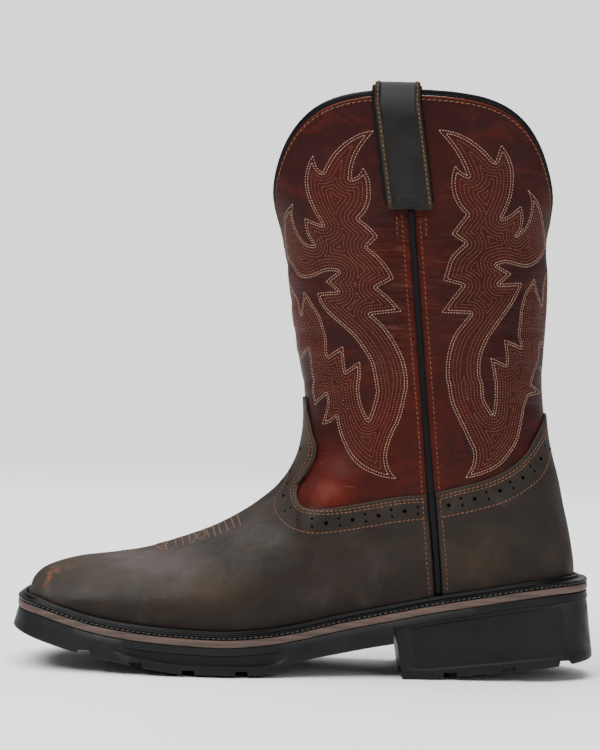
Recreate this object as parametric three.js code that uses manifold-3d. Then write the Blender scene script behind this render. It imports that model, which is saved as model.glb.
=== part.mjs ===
// A left western work boot, toe toward -X, outer side toward -Y, standing on Z = 0. Millimetres.
import * as THREE from 'three';
import { mergeVertices } from 'three/addons/utils/BufferGeometryUtils.js';
import Module from 'manifold-3d';

const wasm = await Module();
wasm.setup();

// Driving dimensions of the sole
const sole_length = 313.6;
const ball_width = 113;
const toe_round = 30;
const heel_round = 42;
const toe_squareness = 2.7;
const heel_squareness = 2.2;
const toe_flare = 2.4;
const heel_flare = 3.8;
const instep_rise = 32;
const rand_thickness = 3.8;
const midsole_thickness = 4;
const welt_thickness = 3.2;
const welt_reach_toe = 6.1;
const welt_reach_heel = 8.5;
const bead_width = 2.6;
const bead_height = 2.2;
const side_recess = 1.2;
const lug_band_height = 4.3;
const tread_crown = 1.7;
const tread_bevel = 8;
const groove_width = 7;
const groove_depth = 3.5;
const groove_pitch = 27.6;
const groove_count = 4;
const groove_reach = 26;
const heel_groove_width = 7.4;
const heel_groove_depth = 2.6;
const heel_groove_pitch = 30.8;
const heel_groove_count = 3;
const heel_flat = 13;
const heel_lip = 5;
const heel_chamfer = 1;
const heel_rib = 28;
const heel_groove_length = 46;
const heel_pitch = 10.4;

// Driving dimensions of the upper
const upper_height = 274;
const collar_height = 263.3;
const wall = 2.4;
const overlay_thickness = 1.2;
const gap = 0.3;
const shaft_width = 96;
const ankle_width = 77;
const scallop_depth = 77.5;
const scallop_angle = 33;
const scallop_power = 1.75;
const insole_thickness = 5;
const binding_height = 3;
const piping_width = 3.2;
const piping_height = 1.9;
const strap_width = 25.5;
const strap_thickness = 2.2;
const strap_drop = 60;
const strap_inside_drop = 48;
const strap_loop = 0.9;
const strap_squareness = 0.45;
const strap_lean = 9.2;

// Share of the length where the parts of the sole change, from the back of the heel
const breast_top = 0.348;
const breast_bottom = 0.333;
const waist_front = 0.528;
const first_groove = 0.867;
const first_heel_groove = 0.253;
const seam_foot = 0.274;
const seam_crossing = 0.203;

// Sole outline from heel to toe. lateral, medial and swell are shares of the ball width.
// swell is how far the upper bulges over its foot line, ridge how far its top line leans inward.
const PLAN = [
  { at: 0.00, lateral: 0.352, medial: 0.352, swell: 0.030, ridge: 0.000 },
  { at: 0.14, lateral: 0.360, medial: 0.358, swell: 0.032, ridge: 0.000 },
  { at: 0.30, lateral: 0.368, medial: 0.350, swell: 0.045, ridge: 0.000 },
  { at: 0.42, lateral: 0.392, medial: 0.342, swell: 0.060, ridge: 0.010 },
  { at: 0.53, lateral: 0.445, medial: 0.395, swell: 0.045, ridge: 0.028 },
  { at: 0.64, lateral: 0.500, medial: 0.468, swell: 0.022, ridge: 0.035 },
  { at: 0.72, lateral: 0.500, medial: 0.500, swell: 0.018, ridge: 0.035 },
  { at: 0.82, lateral: 0.470, medial: 0.492, swell: 0.014, ridge: 0.030 },
  { at: 0.92, lateral: 0.418, medial: 0.452, swell: 0.010, ridge: 0.022 },
  { at: 1.00, lateral: 0.385, medial: 0.425, swell: 0.008, ridge: 0.018 },
];

// Side lines of the sole, as shares of the instep rise: top is the midsole's top edge.
const SIDE = [
  { at: 0.00, top: 1.600 },
  { at: 0.07, top: 1.555 },
  { at: 0.14, top: 1.462 },
  { at: 0.21, top: 1.340 },
  { at: 0.28, top: 1.219 },
  { at: 0.34, top: 1.095 },
  { at: 0.40, top: 0.975 },
  { at: 0.45, top: 0.870 },
  { at: 0.51, top: 0.732 },
  { at: 0.57, top: 0.638 },
  { at: 0.64, top: 0.600 },
  { at: 0.72, top: 0.629 },
  { at: 0.80, top: 0.696 },
  { at: 0.85, top: 0.770 },
  { at: 0.90, top: 0.888 },
  { at: 0.95, top: 1.020 },
  { at: 1.00, top: 1.100 },
];

// Underside of the forefoot and waist, as shares of the instep rise, before the crown.
const UNDER = [
  { at: 0.30, low: 0.610 },
  { at: 0.35, low: 0.541 },
  { at: 0.44, low: 0.375 },
  { at: 0.52, low: 0.195 },
  { at: 0.54, low: 0.060 },
  { at: 0.59, low: 0.000 },
  { at: 0.69, low: 0.000 },
  { at: 0.76, low: 0.075 },
  { at: 0.82, low: 0.175 },
  { at: 0.88, low: 0.290 },
  { at: 0.94, low: 0.440 },
  { at: 1.00, low: 0.610 },
];

// Front line of the upper from toe to collar. up is a share of the upper's height over its foot line.
const FRONT = [
  { at: 0.968, up: 0.021 },
  { at: 0.954, up: 0.042 },
  { at: 0.930, up: 0.062 },
  { at: 0.889, up: 0.088 },
  { at: 0.835, up: 0.110 },
  { at: 0.781, up: 0.128 },
  { at: 0.717, up: 0.157 },
  { at: 0.647, up: 0.192 },
  { at: 0.589, up: 0.230 },
  { at: 0.545, up: 0.269 },
  { at: 0.519, up: 0.314 },
  { at: 0.508, up: 0.368 },
  { at: 0.508, up: 0.423 },
  { at: 0.516, up: 0.483 },
  { at: 0.533, up: 0.585 },
  { at: 0.544, up: 0.678 },
  { at: 0.557, up: 0.761 },
  { at: 0.585, up: 0.845 },
  { at: 0.594, up: 0.919 },
  { at: 0.596, up: 1.010 },
  { at: 0.596, up: 1.090 },
];

// Back line of the upper from heel to collar, in the same shares.
const BACK = [
  { at: 0.040, up: 0.022 },
  { at: 0.044, up: 0.052 },
  { at: 0.051, up: 0.093 },
  { at: 0.061, up: 0.141 },
  { at: 0.070, up: 0.189 },
  { at: 0.082, up: 0.239 },
  { at: 0.089, up: 0.276 },
  { at: 0.094, up: 0.321 },
  { at: 0.099, up: 0.384 },
  { at: 0.098, up: 0.431 },
  { at: 0.095, up: 0.503 },
  { at: 0.094, up: 0.594 },
  { at: 0.098, up: 0.657 },
  { at: 0.089, up: 0.703 },
  { at: 0.081, up: 0.742 },
  { at: 0.078, up: 0.811 },
  { at: 0.078, up: 1.090 },
];

// Half widths of the shaft by height, between ankle and collar: shares of the way from one to the other.
const GIRTH = [
  { up: 0.00, wide: -0.10 },
  { up: 0.20, wide: -0.05 },
  { up: 0.38, wide: 0.02 },
  { up: 0.55, wide: 0.30 },
  { up: 0.75, wide: 0.72 },
  { up: 0.92, wide: 1.00 },
  { up: 1.10, wide: 1.10 },
];

// Upper edge of the dark foxing from the tongue at the front to the point at the back.
const FOXING = [
  { at: 0.522, up: 0.440 },
  { at: 0.508, up: 0.436 },
  { at: 0.500, up: 0.397 },
  { at: 0.491, up: 0.354 },
  { at: 0.486, up: 0.336 },
  { at: 0.489, up: 0.310 },
  { at: 0.502, up: 0.282 },
  { at: 0.513, up: 0.262 },
  { at: 0.516, up: 0.245 },
  { at: 0.508, up: 0.226 },
  { at: 0.490, up: 0.215 },
  { at: 0.442, up: 0.210 },
  { at: 0.391, up: 0.210 },
  { at: 0.345, up: 0.209 },
  { at: 0.301, up: 0.204 },
  { at: 0.247, up: 0.208 },
  { at: 0.200, up: 0.214 },
  { at: 0.159, up: 0.229 },
  { at: 0.134, up: 0.249 },
  { at: 0.115, up: 0.280 },
  { at: 0.095, up: 0.323 },
  { at: 0.086, up: 0.372 },
  { at: 0.070, up: 0.378 },
];

// Side seam from the strap down to the welt.
const SEAM = [
  { up: 0.000, at: 0.274 },
  { up: 0.091, at: 0.282 },
  { up: 0.203, at: 0.293 },
  { up: 0.310, at: 0.303 },
  { up: 0.547, at: 0.323 },
  { up: 0.800, at: 0.345 },
];

// Mesh steps
const ROUND_STEPS = 40;
const FOOT_RINGS = 13;
const SHAFT_RINGS = 10;
const END_STEPS = 6;
const MIDDLE_STEPS = 16;

const ANKLE_FRONT_UP = 0.44;
const ANKLE_BACK_UP = 0.40;
const LATERAL = -1;
const MEDIAL = 1;

// Smooth curve through the rows of a table, level at its own peaks
function smooth(rows, from, to) {
  const xs = rows.map((row) => row[from]);
  const ys = rows.map((row) => row[to]);
  const slopes = xs.slice(1).map((x, i) => (ys[i + 1] - ys[i]) / (x - xs[i]));
  const tangents = xs.map((x, i) => {
    if (i === 0) return slopes[0];
    if (i === xs.length - 1) return slopes[i - 1];
    const before = slopes[i - 1];
    const after = slopes[i];
    return before * after <= 0 ? 0 : (2 * before * after) / (before + after);
  });
  return (x) => {
    const last = xs.length - 2;
    let i = 0;
    while (i < last && x > xs[i + 1]) i += 1;
    const span = xs[i + 1] - xs[i];
    const t = THREE.MathUtils.clamp((x - xs[i]) / span, 0, 1);
    const rise = ys[i] * (1 + 2 * t) * (1 - t) ** 2 + ys[i + 1] * t * t * (3 - 2 * t);
    return rise + span * (tangents[i] * t * (1 - t) ** 2 - tangents[i + 1] * t * t * (1 - t));
  };
}

const lerp = THREE.MathUtils.lerp;
const clamp = THREE.MathUtils.clamp;
const ease = THREE.MathUtils.smoothstep;

const lateralShare = smooth(PLAN, 'at', 'lateral');
const medialShare = smooth(PLAN, 'at', 'medial');
const swellShare = smooth(PLAN, 'at', 'swell');
const ridgeShare = smooth(PLAN, 'at', 'ridge');
const topShare = smooth(SIDE, 'at', 'top');
const underShare = smooth(UNDER, 'at', 'low');
const girthShare = smooth(GIRTH, 'up', 'wide');
const seamShare = smooth(SEAM, 'up', 'at');

const xAt = (at) => (0.5 - at) * sole_length;
const atX = (x) => 0.5 - x / sole_length;
const midsoleTop = (x) => topShare(atX(x)) * instep_rise;
const midsoleLow = (x) => midsoleTop(x) - midsole_thickness;
const randLow = (x) => midsoleLow(x) - gap - rand_thickness;
const footLine = (x) => midsoleTop(x) + gap + welt_thickness + gap;

// Rounded end of an outline: 0 at the end, 1 from one rounding length on
function roundEnd(distance, length, squareness) {
  const left = clamp(1 - distance / length, 0, 1);
  return (1 - left ** squareness) ** (1 / squareness);
}

// Inset of a layer from the widest outline, running from its heel value to its toe value
const layer = (heel, toe) => ({ heel, toe });
const TREAD = layer(0, 0);
const UPPER_LAYERS = layer(heel_flare, toe_flare);
const further = (inset, more) => layer(inset.heel + more, inset.toe + more);
const footInset = layer(heel_flare + welt_reach_heel, toe_flare + welt_reach_toe);
const insetAt = (inset, x) => lerp(inset.heel, inset.toe, clamp(atX(x), 0, 1));
const heelEnd = (inset) => sole_length / 2 - inset.heel;
const toeEnd = (inset) => -sole_length / 2 + inset.toe;

function sideWidth(x, side) {
  const share = side === LATERAL ? lateralShare(atX(x)) : medialShare(atX(x));
  return share * ball_width;
}

// Half width of a layer's outline at x
function outlineHalf(x, side, inset) {
  const toe = roundEnd(x - toeEnd(inset), toe_round, toe_squareness);
  const heel = roundEnd(heelEnd(inset) - x, heel_round, heel_squareness);
  return (sideWidth(x, side) - insetAt(inset, x)) * toe * heel;
}

// Stations from heel to toe, as functions of a layer: dense round both ends
const heelStations = [...Array(END_STEPS).keys()].map((i) => {
  const turn = (i / END_STEPS) * Math.PI / 2;
  const distance = heel_round * (1 - Math.cos(turn) ** (2 / heel_squareness));
  return (inset) => heelEnd(inset) - distance;
});
const middleStations = [...Array(MIDDLE_STEPS + 1).keys()].map((i) => (inset) => (
  lerp(heelEnd(inset) - heel_round, toeEnd(inset) + toe_round, i / MIDDLE_STEPS)));
const toeStations = [...Array(END_STEPS).keys()].map((i) => {
  const turn = (1 - (i + 1) / END_STEPS) * Math.PI / 2;
  const distance = toe_round * (1 - Math.cos(turn) ** (2 / toe_squareness));
  return (inset) => toeEnd(inset) + distance;
});
const stations = [...heelStations, ...middleStations, ...toeStations];

// Closed ring of points round a layer, lateral side first
function outlineRing(inset, height) {
  const point = (x, side) => {
    const half = outlineHalf(x, side, inset);
    return [x, side * half, height(x, side * half)];
  };
  const lateral = stations.map((station) => point(station(inset), LATERAL));
  const medial = stations.slice(1, -1).map((station) => point(station(inset), MEDIAL));
  return [...lateral, ...medial.reverse()];
}

// Mesh from a vertex list and a list of triangles, turned so that its volume is positive
function meshOf(points, triangles) {
  const shape = new THREE.BufferGeometry();
  shape.setAttribute('position', new THREE.Float32BufferAttribute(points.flat(), 3));
  let volume = 0;
  for (const [a, b, c] of triangles) {
    const p = new THREE.Vector3(...points[a]);
    const q = new THREE.Vector3(...points[b]);
    const r = new THREE.Vector3(...points[c]);
    volume += p.dot(q.cross(r));
  }
  const out = volume < 0 ? triangles.map(([a, b, c]) => [a, c, b]) : triangles;
  shape.setIndex(out.flat());
  return shape;
}

// Solid through rings of the same length; the first and last ring are closed by strips across
function stack(rings) {
  const count = rings[0].length;
  const points = rings.flat();
  const triangles = [];
  for (let ring = 0; ring + 1 < rings.length; ring += 1) {
    for (let i = 0; i < count; i += 1) {
      const next = (i + 1) % count;
      const low = ring * count;
      const high = low + count;
      triangles.push([low + i, low + next, high + next], [low + i, high + next, high + i]);
    }
  }
  const cap = (start, flip) => {
    for (let left = 0, right = count; left + 1 < right; ) {
      const a = start + left;
      const b = start + (right % count);
      const c = start + left + 1;
      const d = start + right - 1;
      const add = (p, q, r) => {
        if (p !== q && q !== r && p !== r) triangles.push(flip ? [p, q, r] : [p, r, q]);
      };
      add(a, c, d);
      add(a, d, b);
      left += 1;
      right -= 1;
    }
  };
  cap(0, false);
  cap((rings.length - 1) * count, true);
  return meshOf(points, triangles);
}

// Solid through sections that form a closed loop round the boot, or an open bar with flat ends
function sweep(sections, closed) {
  const count = sections[0].length;
  const points = sections.flat();
  const triangles = [];
  const last = closed ? sections.length : sections.length - 1;
  for (let s = 0; s < last; s += 1) {
    const here = s * count;
    const there = ((s + 1) % sections.length) * count;
    for (let i = 0; i < count; i += 1) {
      const next = (i + 1) % count;
      triangles.push([here + i, here + next, there + next], [here + i, there + next, there + i]);
    }
  }
  if (!closed) {
    const end = (sections.length - 1) * count;
    for (let i = 1; i + 1 < count; i += 1) {
      triangles.push([0, i + 1, i], [end, end + i, end + i + 1]);
    }
  }
  return meshOf(points, triangles);
}

// Booleans
function solid(geometry) {
  const bare = geometry.clone();
  bare.deleteAttribute('normal');
  bare.deleteAttribute('uv');
  const merged = mergeVertices(bare, 1e-4);
  return new wasm.Manifold(new wasm.Mesh({
    numProp: 3,
    vertProperties: new Float32Array(merged.attributes.position.array),
    triVerts: new Uint32Array(merged.index.array),
  }));
}

function shapeOf(body) {
  const mesh = body.getMesh();
  const shape = new THREE.BufferGeometry();
  shape.setAttribute('position', new THREE.BufferAttribute(new Float32Array(mesh.vertProperties), 3));
  shape.setIndex(new THREE.BufferAttribute(new Uint32Array(mesh.triVerts), 1));
  return shape;
}

// Prism through the whole boot, from an outline drawn in the side view
function sidePrism(outline, fromY, toY) {
  const shape = new THREE.Shape(outline.map(([x, z]) => new THREE.Vector2(x, z)));
  const prism = new THREE.ExtrudeGeometry(shape, { depth: toY - fromY, bevelEnabled: false });
  prism.rotateX(Math.PI / 2);
  prism.translate(0, toY, 0);
  return solid(prism);
}

// The upper's surface in the side view: ends of each level
const profilePoints = (rows, x, squeeze) => [
  new THREE.Vector3(x, 0, footLine(x)),
  ...rows.map((row) => {
    const px = xAt(row.at) + squeeze;
    return new THREE.Vector3(px, 0, footLine(px) + row.up * upper_height);
  }),
];
const profileSamples = (points) => (
  new THREE.CatmullRomCurve3(points, false, 'centripetal').getPoints(500));
const frontLine = profileSamples(profilePoints(FRONT, toeEnd(footInset), 0));
const backLine = profileSamples(profilePoints(BACK, heelEnd(footInset), 0));

function lookUp(samples, key, want, value) {
  const rising = samples[samples.length - 1][key] > samples[0][key];
  let i = 0;
  while (i < samples.length - 2 && (samples[i + 1][key] < want) === rising) i += 1;
  const span = samples[i + 1][key] - samples[i][key];
  const t = span === 0 ? 0 : clamp((want - samples[i][key]) / span, 0, 1);
  return lerp(samples[i][value], samples[i + 1][value], t);
}

const frontX = (z) => lookUp(frontLine, 'z', z, 'x');
const backX = (z) => lookUp(backLine, 'z', z, 'x');
const highest = (line, up) => line.find((point) => point.z - footLine(point.x) >= up * upper_height);
const instep = highest(frontLine, ANKLE_FRONT_UP);
const ankleBack = highest(backLine, ANKLE_BACK_UP);
const throatFrom = instep.x - 1;

// Height of the ridge over x, which climbs steeply on past the instep
const steep_climb = 9;
function ridgeHeight(x) {
  if (x >= throatFrom) return lookUp(frontLine, 'x', throatFrom, 'z') + steep_climb * (x - throatFrom);
  return lookUp(frontLine, 'x', x, 'z');
}

const seatHeight = footLine(xAt(seam_foot));
const levelOf = (z) => (z - seatHeight) / upper_height;
const blend_power = 4;
const foot_fades_from = 0.20;
const foot_fades_to = 0.38;
const side_squareness = 2.25;
const shaft_squareness = 2.05;

// How far the upper reaches sideways from the middle plane, over a point of its side view
function halfWidth(x, z, side) {
  const foot = footLine(x);
  const level = levelOf(z);
  const rise = clamp((z - foot) / Math.max(ridgeHeight(x) - foot, 1), 0, 1);
  const climb = ease(z, foot, seatHeight + foot_fades_to * upper_height);
  const fade = ease(level, foot_fades_from, foot_fades_to);
  const swell = swellShare(atX(x)) * ball_width * Math.sin(Math.PI * Math.min(rise * 1.15, 1));
  const base = sideWidth(x, side) - insetAt(footInset, x) + swell;
  const shaft = lerp(ankle_width, shaft_width, girthShare(level)) / 2;
  const offset = ridgeShare(atX(x)) * ball_width * side * (1 - fade);
  const full = lerp(base, shaft, climb) - offset * ease(rise, 0, 1);
  const front = frontX(z);
  const back = backX(z);
  const half = (back - front) / 2;
  const squared = lerp(toe_squareness, side_squareness, ease(rise, 0, 0.5));
  const power = lerp(squared, shaft_squareness, fade);
  const frontRound = lerp(lerp(toe_round, half * 0.55, ease(rise, 0, 1)), half, climb);
  const ahead = clamp(1 - (x - front) / frontRound, 0, 1) ** blend_power;
  const over = (rise * (1 - fade)) ** blend_power;
  const edge = ((ahead + over) / (1 + ahead * over)) ** (1 / blend_power);
  const backRound = lerp(heel_round, half, climb);
  const behind = clamp(1 - (back - x) / backRound, 0, 1);
  const backPower = lerp(heel_squareness, shaft_squareness, climb);
  return full * (1 - edge ** power) ** (1 / power) * (1 - behind ** backPower) ** (1 / backPower);
}

const ridgeY = (x, z) => {
  const fade = ease(levelOf(z), foot_fades_from, foot_fades_to);
  const rise = clamp((z - footLine(x)) / Math.max(ridgeHeight(x) - footLine(x), 1), 0, 1);
  return ridgeShare(atX(x)) * ball_width * (1 - fade) * ease(rise, 0, 1);
};

// Collar height round the shaft; angle 0 is the front, 180 the back
const collarPeak = seatHeight + collar_height;
function collarHeight(degrees) {
  const drop = (away) => Math.exp(-((away / scallop_angle) ** scallop_power));
  return collarPeak - scallop_depth * (drop(degrees) + drop(180 - degrees));
}

// Point of the upper's outer surface. climb 0 is the foot line, 1 the ankle, 2 the collar.
function surfacePoint(climb, degrees) {
  const side = degrees <= 180 ? LATERAL : MEDIAL;
  const around = side === LATERAL ? degrees : 360 - degrees;
  const share = (1 - Math.cos(THREE.MathUtils.degToRad(around))) / 2;
  let x;
  let z;
  if (climb <= 1) {
    const toAnkle = (line, top) => {
      const sweepUp = climb ** 1.15;
      const end = line.indexOf(top);
      const spot = sweepUp * end;
      const i = Math.min(Math.floor(spot), end - 1);
      return line[i].clone().lerp(line[i + 1], spot - i);
    };
    const front = toAnkle(frontLine, instep);
    const back = toAnkle(backLine, ankleBack);
    x = lerp(front.x, back.x, share);
    const groundX = lerp(frontLine[0].x, backLine[0].x, share);
    const sag = footLine(groundX) - lerp(frontLine[0].z, backLine[0].z, share);
    z = lerp(front.z, back.z, share) + sag * (1 - climb) ** 2;
  } else {
    const start = lerp(instep.z, ankleBack.z, share);
    z = lerp(start, collarHeight(around), climb - 1);
    x = lerp(frontX(z), backX(z), share);
  }
  const half = halfWidth(x, z, side);
  return new THREE.Vector3(x, ridgeY(x, z) + side * half, z);
}

// Outward direction there, from four close neighbours
function surfaceNormal(climb, degrees) {
  const step = 0.02;
  const turn = 2.5;
  const wrap = (value) => (value + 360) % 360;
  const up = surfacePoint(Math.min(climb + step, 2), degrees)
    .sub(surfacePoint(Math.max(climb - step, 0), degrees));
  const along = surfacePoint(climb, wrap(degrees + turn)).sub(surfacePoint(climb, wrap(degrees - turn)));
  const normal = along.cross(up).normalize();
  const outward = surfacePoint(climb, degrees).sub(new THREE.Vector3(60, 0, 120));
  const level = climb < 0.02 || climb > 1.98;
  if (level) normal.setZ(0).normalize();
  return normal.dot(outward) < 0 && climb > 1 ? normal.negate() : normal;
}

const climbs = [
  ...[...Array(FOOT_RINGS).keys()].map((i) => i / FOOT_RINGS),
  ...[...Array(SHAFT_RINGS + 1).keys()].map((i) => 1 + i / SHAFT_RINGS),
];
const turns = [...Array(ROUND_STEPS).keys()].map((i) => (i * 360) / ROUND_STEPS);
const skin = climbs.map((climb) => turns.map((degrees) => ({
  point: surfacePoint(climb, degrees),
  normal: surfaceNormal(climb, degrees),
})));

// Rings of the upper moved outward by a distance
const offsetRings = (distance) => skin.map((ring) => (
  ring.map(({ point, normal }) => point.clone().addScaledVector(normal, distance).toArray())));

// Wall between two offsets, open at the top and underneath
function wallBetween(inner, outer) {
  const outside = offsetRings(outer);
  const inside = offsetRings(inner);
  const sections = turns.map((_, i) => [
    ...outside.map((ring) => ring[i]),
    ...inside.map((ring) => ring[i]).reverse(),
  ]);
  return sweep(sections, true);
}

// Filled form out to one offset, run on below the foot line so that cuts pass through
function formTo(distance) {
  const rings = offsetRings(distance);
  const below = rings[0].map(([x, y, z]) => [x, y, z - 12]);
  return solid(stack([below, ...rings]));
}

function buildUpper() {
  return wallBetween(-wall, 0);
}

// Dark overlays, cut from the foxing's side view and split along the side seam
const foxingLine = new THREE.CatmullRomCurve3(
  FOXING.map((row) => {
    const x = xAt(row.at);
    return new THREE.Vector3(x, 0, footLine(x) + row.up * upper_height);
  }), false, 'centripetal').getPoints(60);
const seamPoint = (up) => {
  const x = xAt(seamShare(up));
  return [x, footLine(x) + up * upper_height];
};

function buildOverlay(front) {
  const shell = formTo(gap + overlay_thickness).subtract(formTo(gap));
  const away = piping_width / 2 + gap * 2;
  const seam = [-0.06, 0.02, 0.09, 0.15, seam_crossing].map((up) => {
    const [x, z] = seamPoint(Math.max(up, 0));
    return [x + (front ? -away : away), z + Math.min(up, 0) * upper_height];
  });
  const crossing = seam[seam.length - 1][0];
  const kept = foxingLine.filter((point) => (front ? point.x < crossing : point.x > crossing));
  const edge = kept.map((point) => [point.x, point.z]);
  const far = front ? toeEnd(TREAD) - 20 : heelEnd(TREAD) + 20;
  const low = seam[0][1];
  if (front) edge.reverse();
  const outline = [[far, 0], [seam[0][0], 0], ...seam, ...edge, [far, edge[edge.length - 1][1]]];
  const region = sidePrism(outline, -ball_width, ball_width);
  const cut = shell.intersect(region);
  const lift = solid(stack([
    outlineRing(TREAD, () => -5),
    outlineRing(TREAD, (x) => footLine(x) + 0.02),
  ]));
  const trimmed = cut.subtract(lift);
  const bodies = trimmed.decompose();
  bodies.sort((a, b) => b.volume() - a.volume());
  return shapeOf(bodies[0]);
}

// Sole unit
const edgeHeight = (x) => underShare(atX(x)) * instep_rise + tread_crown;
const flatHeight = (x) => underShare(atX(x)) * instep_rise;
const recessFade = (x) => {
  const at = atX(x);
  return ease(at, waist_front, waist_front + 0.03) * (1 - ease(at, 0.78, 0.82));
};
const bandTop = (x) => Math.min(edgeHeight(x) + lug_band_height, randLow(x) - 0.8);

function fadedRing(depth, height) {
  const plain = outlineRing(UPPER_LAYERS, height);
  const deep = outlineRing(further(UPPER_LAYERS, depth), height);
  return plain.map((point, i) => {
    const fade = recessFade(point[0]);
    return [0, 1, 2].map((axis) => lerp(point[axis], deep[i][axis], fade));
  });
}

function buildOutsole() {
  const midway = (inset, share) => layer(inset.heel * share, inset.toe * share);
  const body = solid(stack([
    outlineRing(further(TREAD, tread_bevel), flatHeight),
    outlineRing(TREAD, edgeHeight),
    outlineRing(midway(UPPER_LAYERS, 0.3), bandTop),
    fadedRing(side_recess, (x) => bandTop(x) + 0.6),
    fadedRing(side_recess, (x) => randLow(x) - 0.4),
    outlineRing(UPPER_LAYERS, (x) => randLow(x)),
    outlineRing(UPPER_LAYERS, (x) => midsoleLow(x) - gap),
  ]));
  const seat = sidePrism([
    [xAt(-0.1), -20],
    [xAt(breast_top) - gap, -20],
    [xAt(breast_top) - gap, randLow(xAt(breast_top))],
    ...[0.3, 0.24, 0.18, 0.12, 0.06, 0.0].map((at) => [xAt(at), randLow(xAt(at))]),
    [xAt(-0.1), randLow(xAt(0))],
  ], -ball_width, ball_width);
  let cut = body.subtract(seat);
  for (let i = 0; i < groove_count; i += 1) {
    const x = xAt(first_groove) + i * groove_pitch;
    for (const side of [LATERAL, MEDIAL]) {
      const box = new THREE.BoxGeometry(groove_width, groove_reach + 20, groove_depth * 2);
      const inner = sideWidth(x, side) - groove_reach;
      box.rotateZ(side * -0.12);
      box.translate(x, side * (inner + (groove_reach + 20) / 2), flatHeight(x));
      cut = cut.subtract(solid(box));
    }
  }
  return shapeOf(cut);
}

const heelLow = (x) => {
  const breast = xAt(breast_bottom);
  const from = breast + heel_flat;
  return Math.max(0, (x - from) / (sole_length / 2 - from)) * heel_pitch;
};

function buildHeel() {
  const breast = (share) => xAt(lerp(breast_bottom, breast_top, share));
  const ring = (inset, height, front) => {
    const point = (x, side) => {
      const y = side * outlineHalf(x, side, inset);
      return [x, y, height(x)];
    };
    const spread = (share) => lerp(heelEnd(inset) - heel_round, front + heel_flat, share);
    const rounded = heelStations.map((station) => station(inset));
    const xs = [...rounded, ...[0, 0.33, 0.67, 1].map(spread), front];
    const lateral = xs.map((x) => point(x, LATERAL));
    const medial = xs.slice(1).map((x) => point(x, MEDIAL));
    return [...lateral, ...medial.reverse()];
  };
  const top = (x) => randLow(x) - gap;
  const under = further(UPPER_LAYERS, 0.6);
  const panel = further(layer(heel_flare * 0.4, 0.6), side_recess);
  const block = solid(stack([
    ring(further(TREAD, 2), heelLow, breast(0)),
    ring(TREAD, (x) => heelLow(x) + heel_chamfer, breast(0)),
    ring(TREAD, (x) => heelLow(x) + heel_lip, breast(0.15)),
    ring(panel, (x) => heelLow(x) + heel_lip + heel_chamfer, breast(0.2)),
    ring(further(UPPER_LAYERS, side_recess), (x) => top(x) - 2, breast(0.9)),
    ring(under, top, breast(1)),
  ]));
  let cut = block;
  for (let i = 0; i < heel_groove_count; i += 1) {
    const x = xAt(first_heel_groove) + i * heel_groove_pitch;
    for (const side of [LATERAL, MEDIAL]) {
      const box = new THREE.BoxGeometry(heel_groove_width, heel_groove_length, heel_groove_depth * 2);
      box.translate(x, side * (heel_groove_length + heel_rib) / 2, heelLow(x) + 0.2);
      cut = cut.subtract(solid(box));
    }
  }
  return shapeOf(cut);
}

function buildMidsole() {
  const bulge = further(UPPER_LAYERS, -0.2);
  return stack([
    outlineRing(further(UPPER_LAYERS, 0.3), midsoleLow),
    outlineRing(bulge, (x) => midsoleLow(x) + midsole_thickness * 0.3),
    outlineRing(bulge, (x) => midsoleLow(x) + midsole_thickness * 0.7),
    outlineRing(further(UPPER_LAYERS, 0.3), midsoleTop),
  ]);
}

// Ring of leather round the boot, with a bead that stands against the upper
function buildWelt() {
  const base = (x) => midsoleTop(x) + gap;
  const top = (x) => base(x) + welt_thickness;
  const skinOut = gap + overlay_thickness + gap;
  const bead = (out) => further(footInset, -skinOut - out);
  const rows = [
    [further(UPPER_LAYERS, 0), (x) => base(x) + 0.4],
    [further(UPPER_LAYERS, 0), (x) => top(x) - 0.5],
    [further(UPPER_LAYERS, 0.6), top],
    [bead(bead_width), (x) => top(x) - 0.2],
    [bead(bead_width * 0.7), (x) => top(x) + bead_height],
    [bead(bead_width * 0.3), (x) => top(x) + bead_height * 0.8],
    [bead(0), top],
    [further(footInset, wall), top],
    [further(footInset, wall), base],
    [further(UPPER_LAYERS, 0.5), base],
  ].map(([inset, height]) => outlineRing(inset, height));
  const sections = rows[0].map((_, i) => rows.map((ring) => ring[i]));
  return sweep(sections, true);
}

function buildInsole() {
  const base = (x) => midsoleTop(x) + gap;
  return stack([
    outlineRing(further(footInset, wall + gap * 3), base),
    outlineRing(further(footInset, wall + gap * 3), (x) => base(x) + welt_thickness),
    outlineRing(further(footInset, wall + gap * 8), (x) => base(x) + insole_thickness),
  ]);
}

// Frame on the collar's edge: point, outward direction and the way on up from the edge
function collarFrame(degrees) {
  const turn = 3;
  const point = surfacePoint(2, degrees);
  const normal = surfaceNormal(2, degrees);
  const along = surfacePoint(2, (degrees + turn) % 360).sub(surfacePoint(2, (degrees + 360 - turn) % 360));
  const on = normal.clone().cross(along).normalize();
  return { point, normal, on: on.z < 0 ? on.negate() : on };
}

function buildBinding() {
  const half = wall / 2;
  const sections = turns.map((degrees) => {
    const { point, normal, on } = collarFrame(degrees);
    const at = (out, up) => point.clone().addScaledVector(normal, out - half)
      .addScaledVector(on, gap * 2 + up).toArray();
    return [
      at(half, 0), at(half + 0.2, binding_height * 0.5), at(half * 0.6, binding_height * 0.92),
      at(0, binding_height), at(-half * 0.6, binding_height * 0.92),
      at(-half - 0.2, binding_height * 0.5), at(-half, 0),
    ];
  });
  return sweep(sections, true);
}

// Outward direction of the skin over a point of the side view
function sideNormal(x, z, side) {
  const step = 1.5;
  const y = (px, pz) => halfWidth(px, pz, side);
  const dx = (y(x + step, z) - y(x - step, z)) / (2 * step);
  const dz = (y(x, z + step) - y(x, z - step)) / (2 * step);
  return new THREE.Vector3(-dx, side, -dz).normalize();
}

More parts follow.
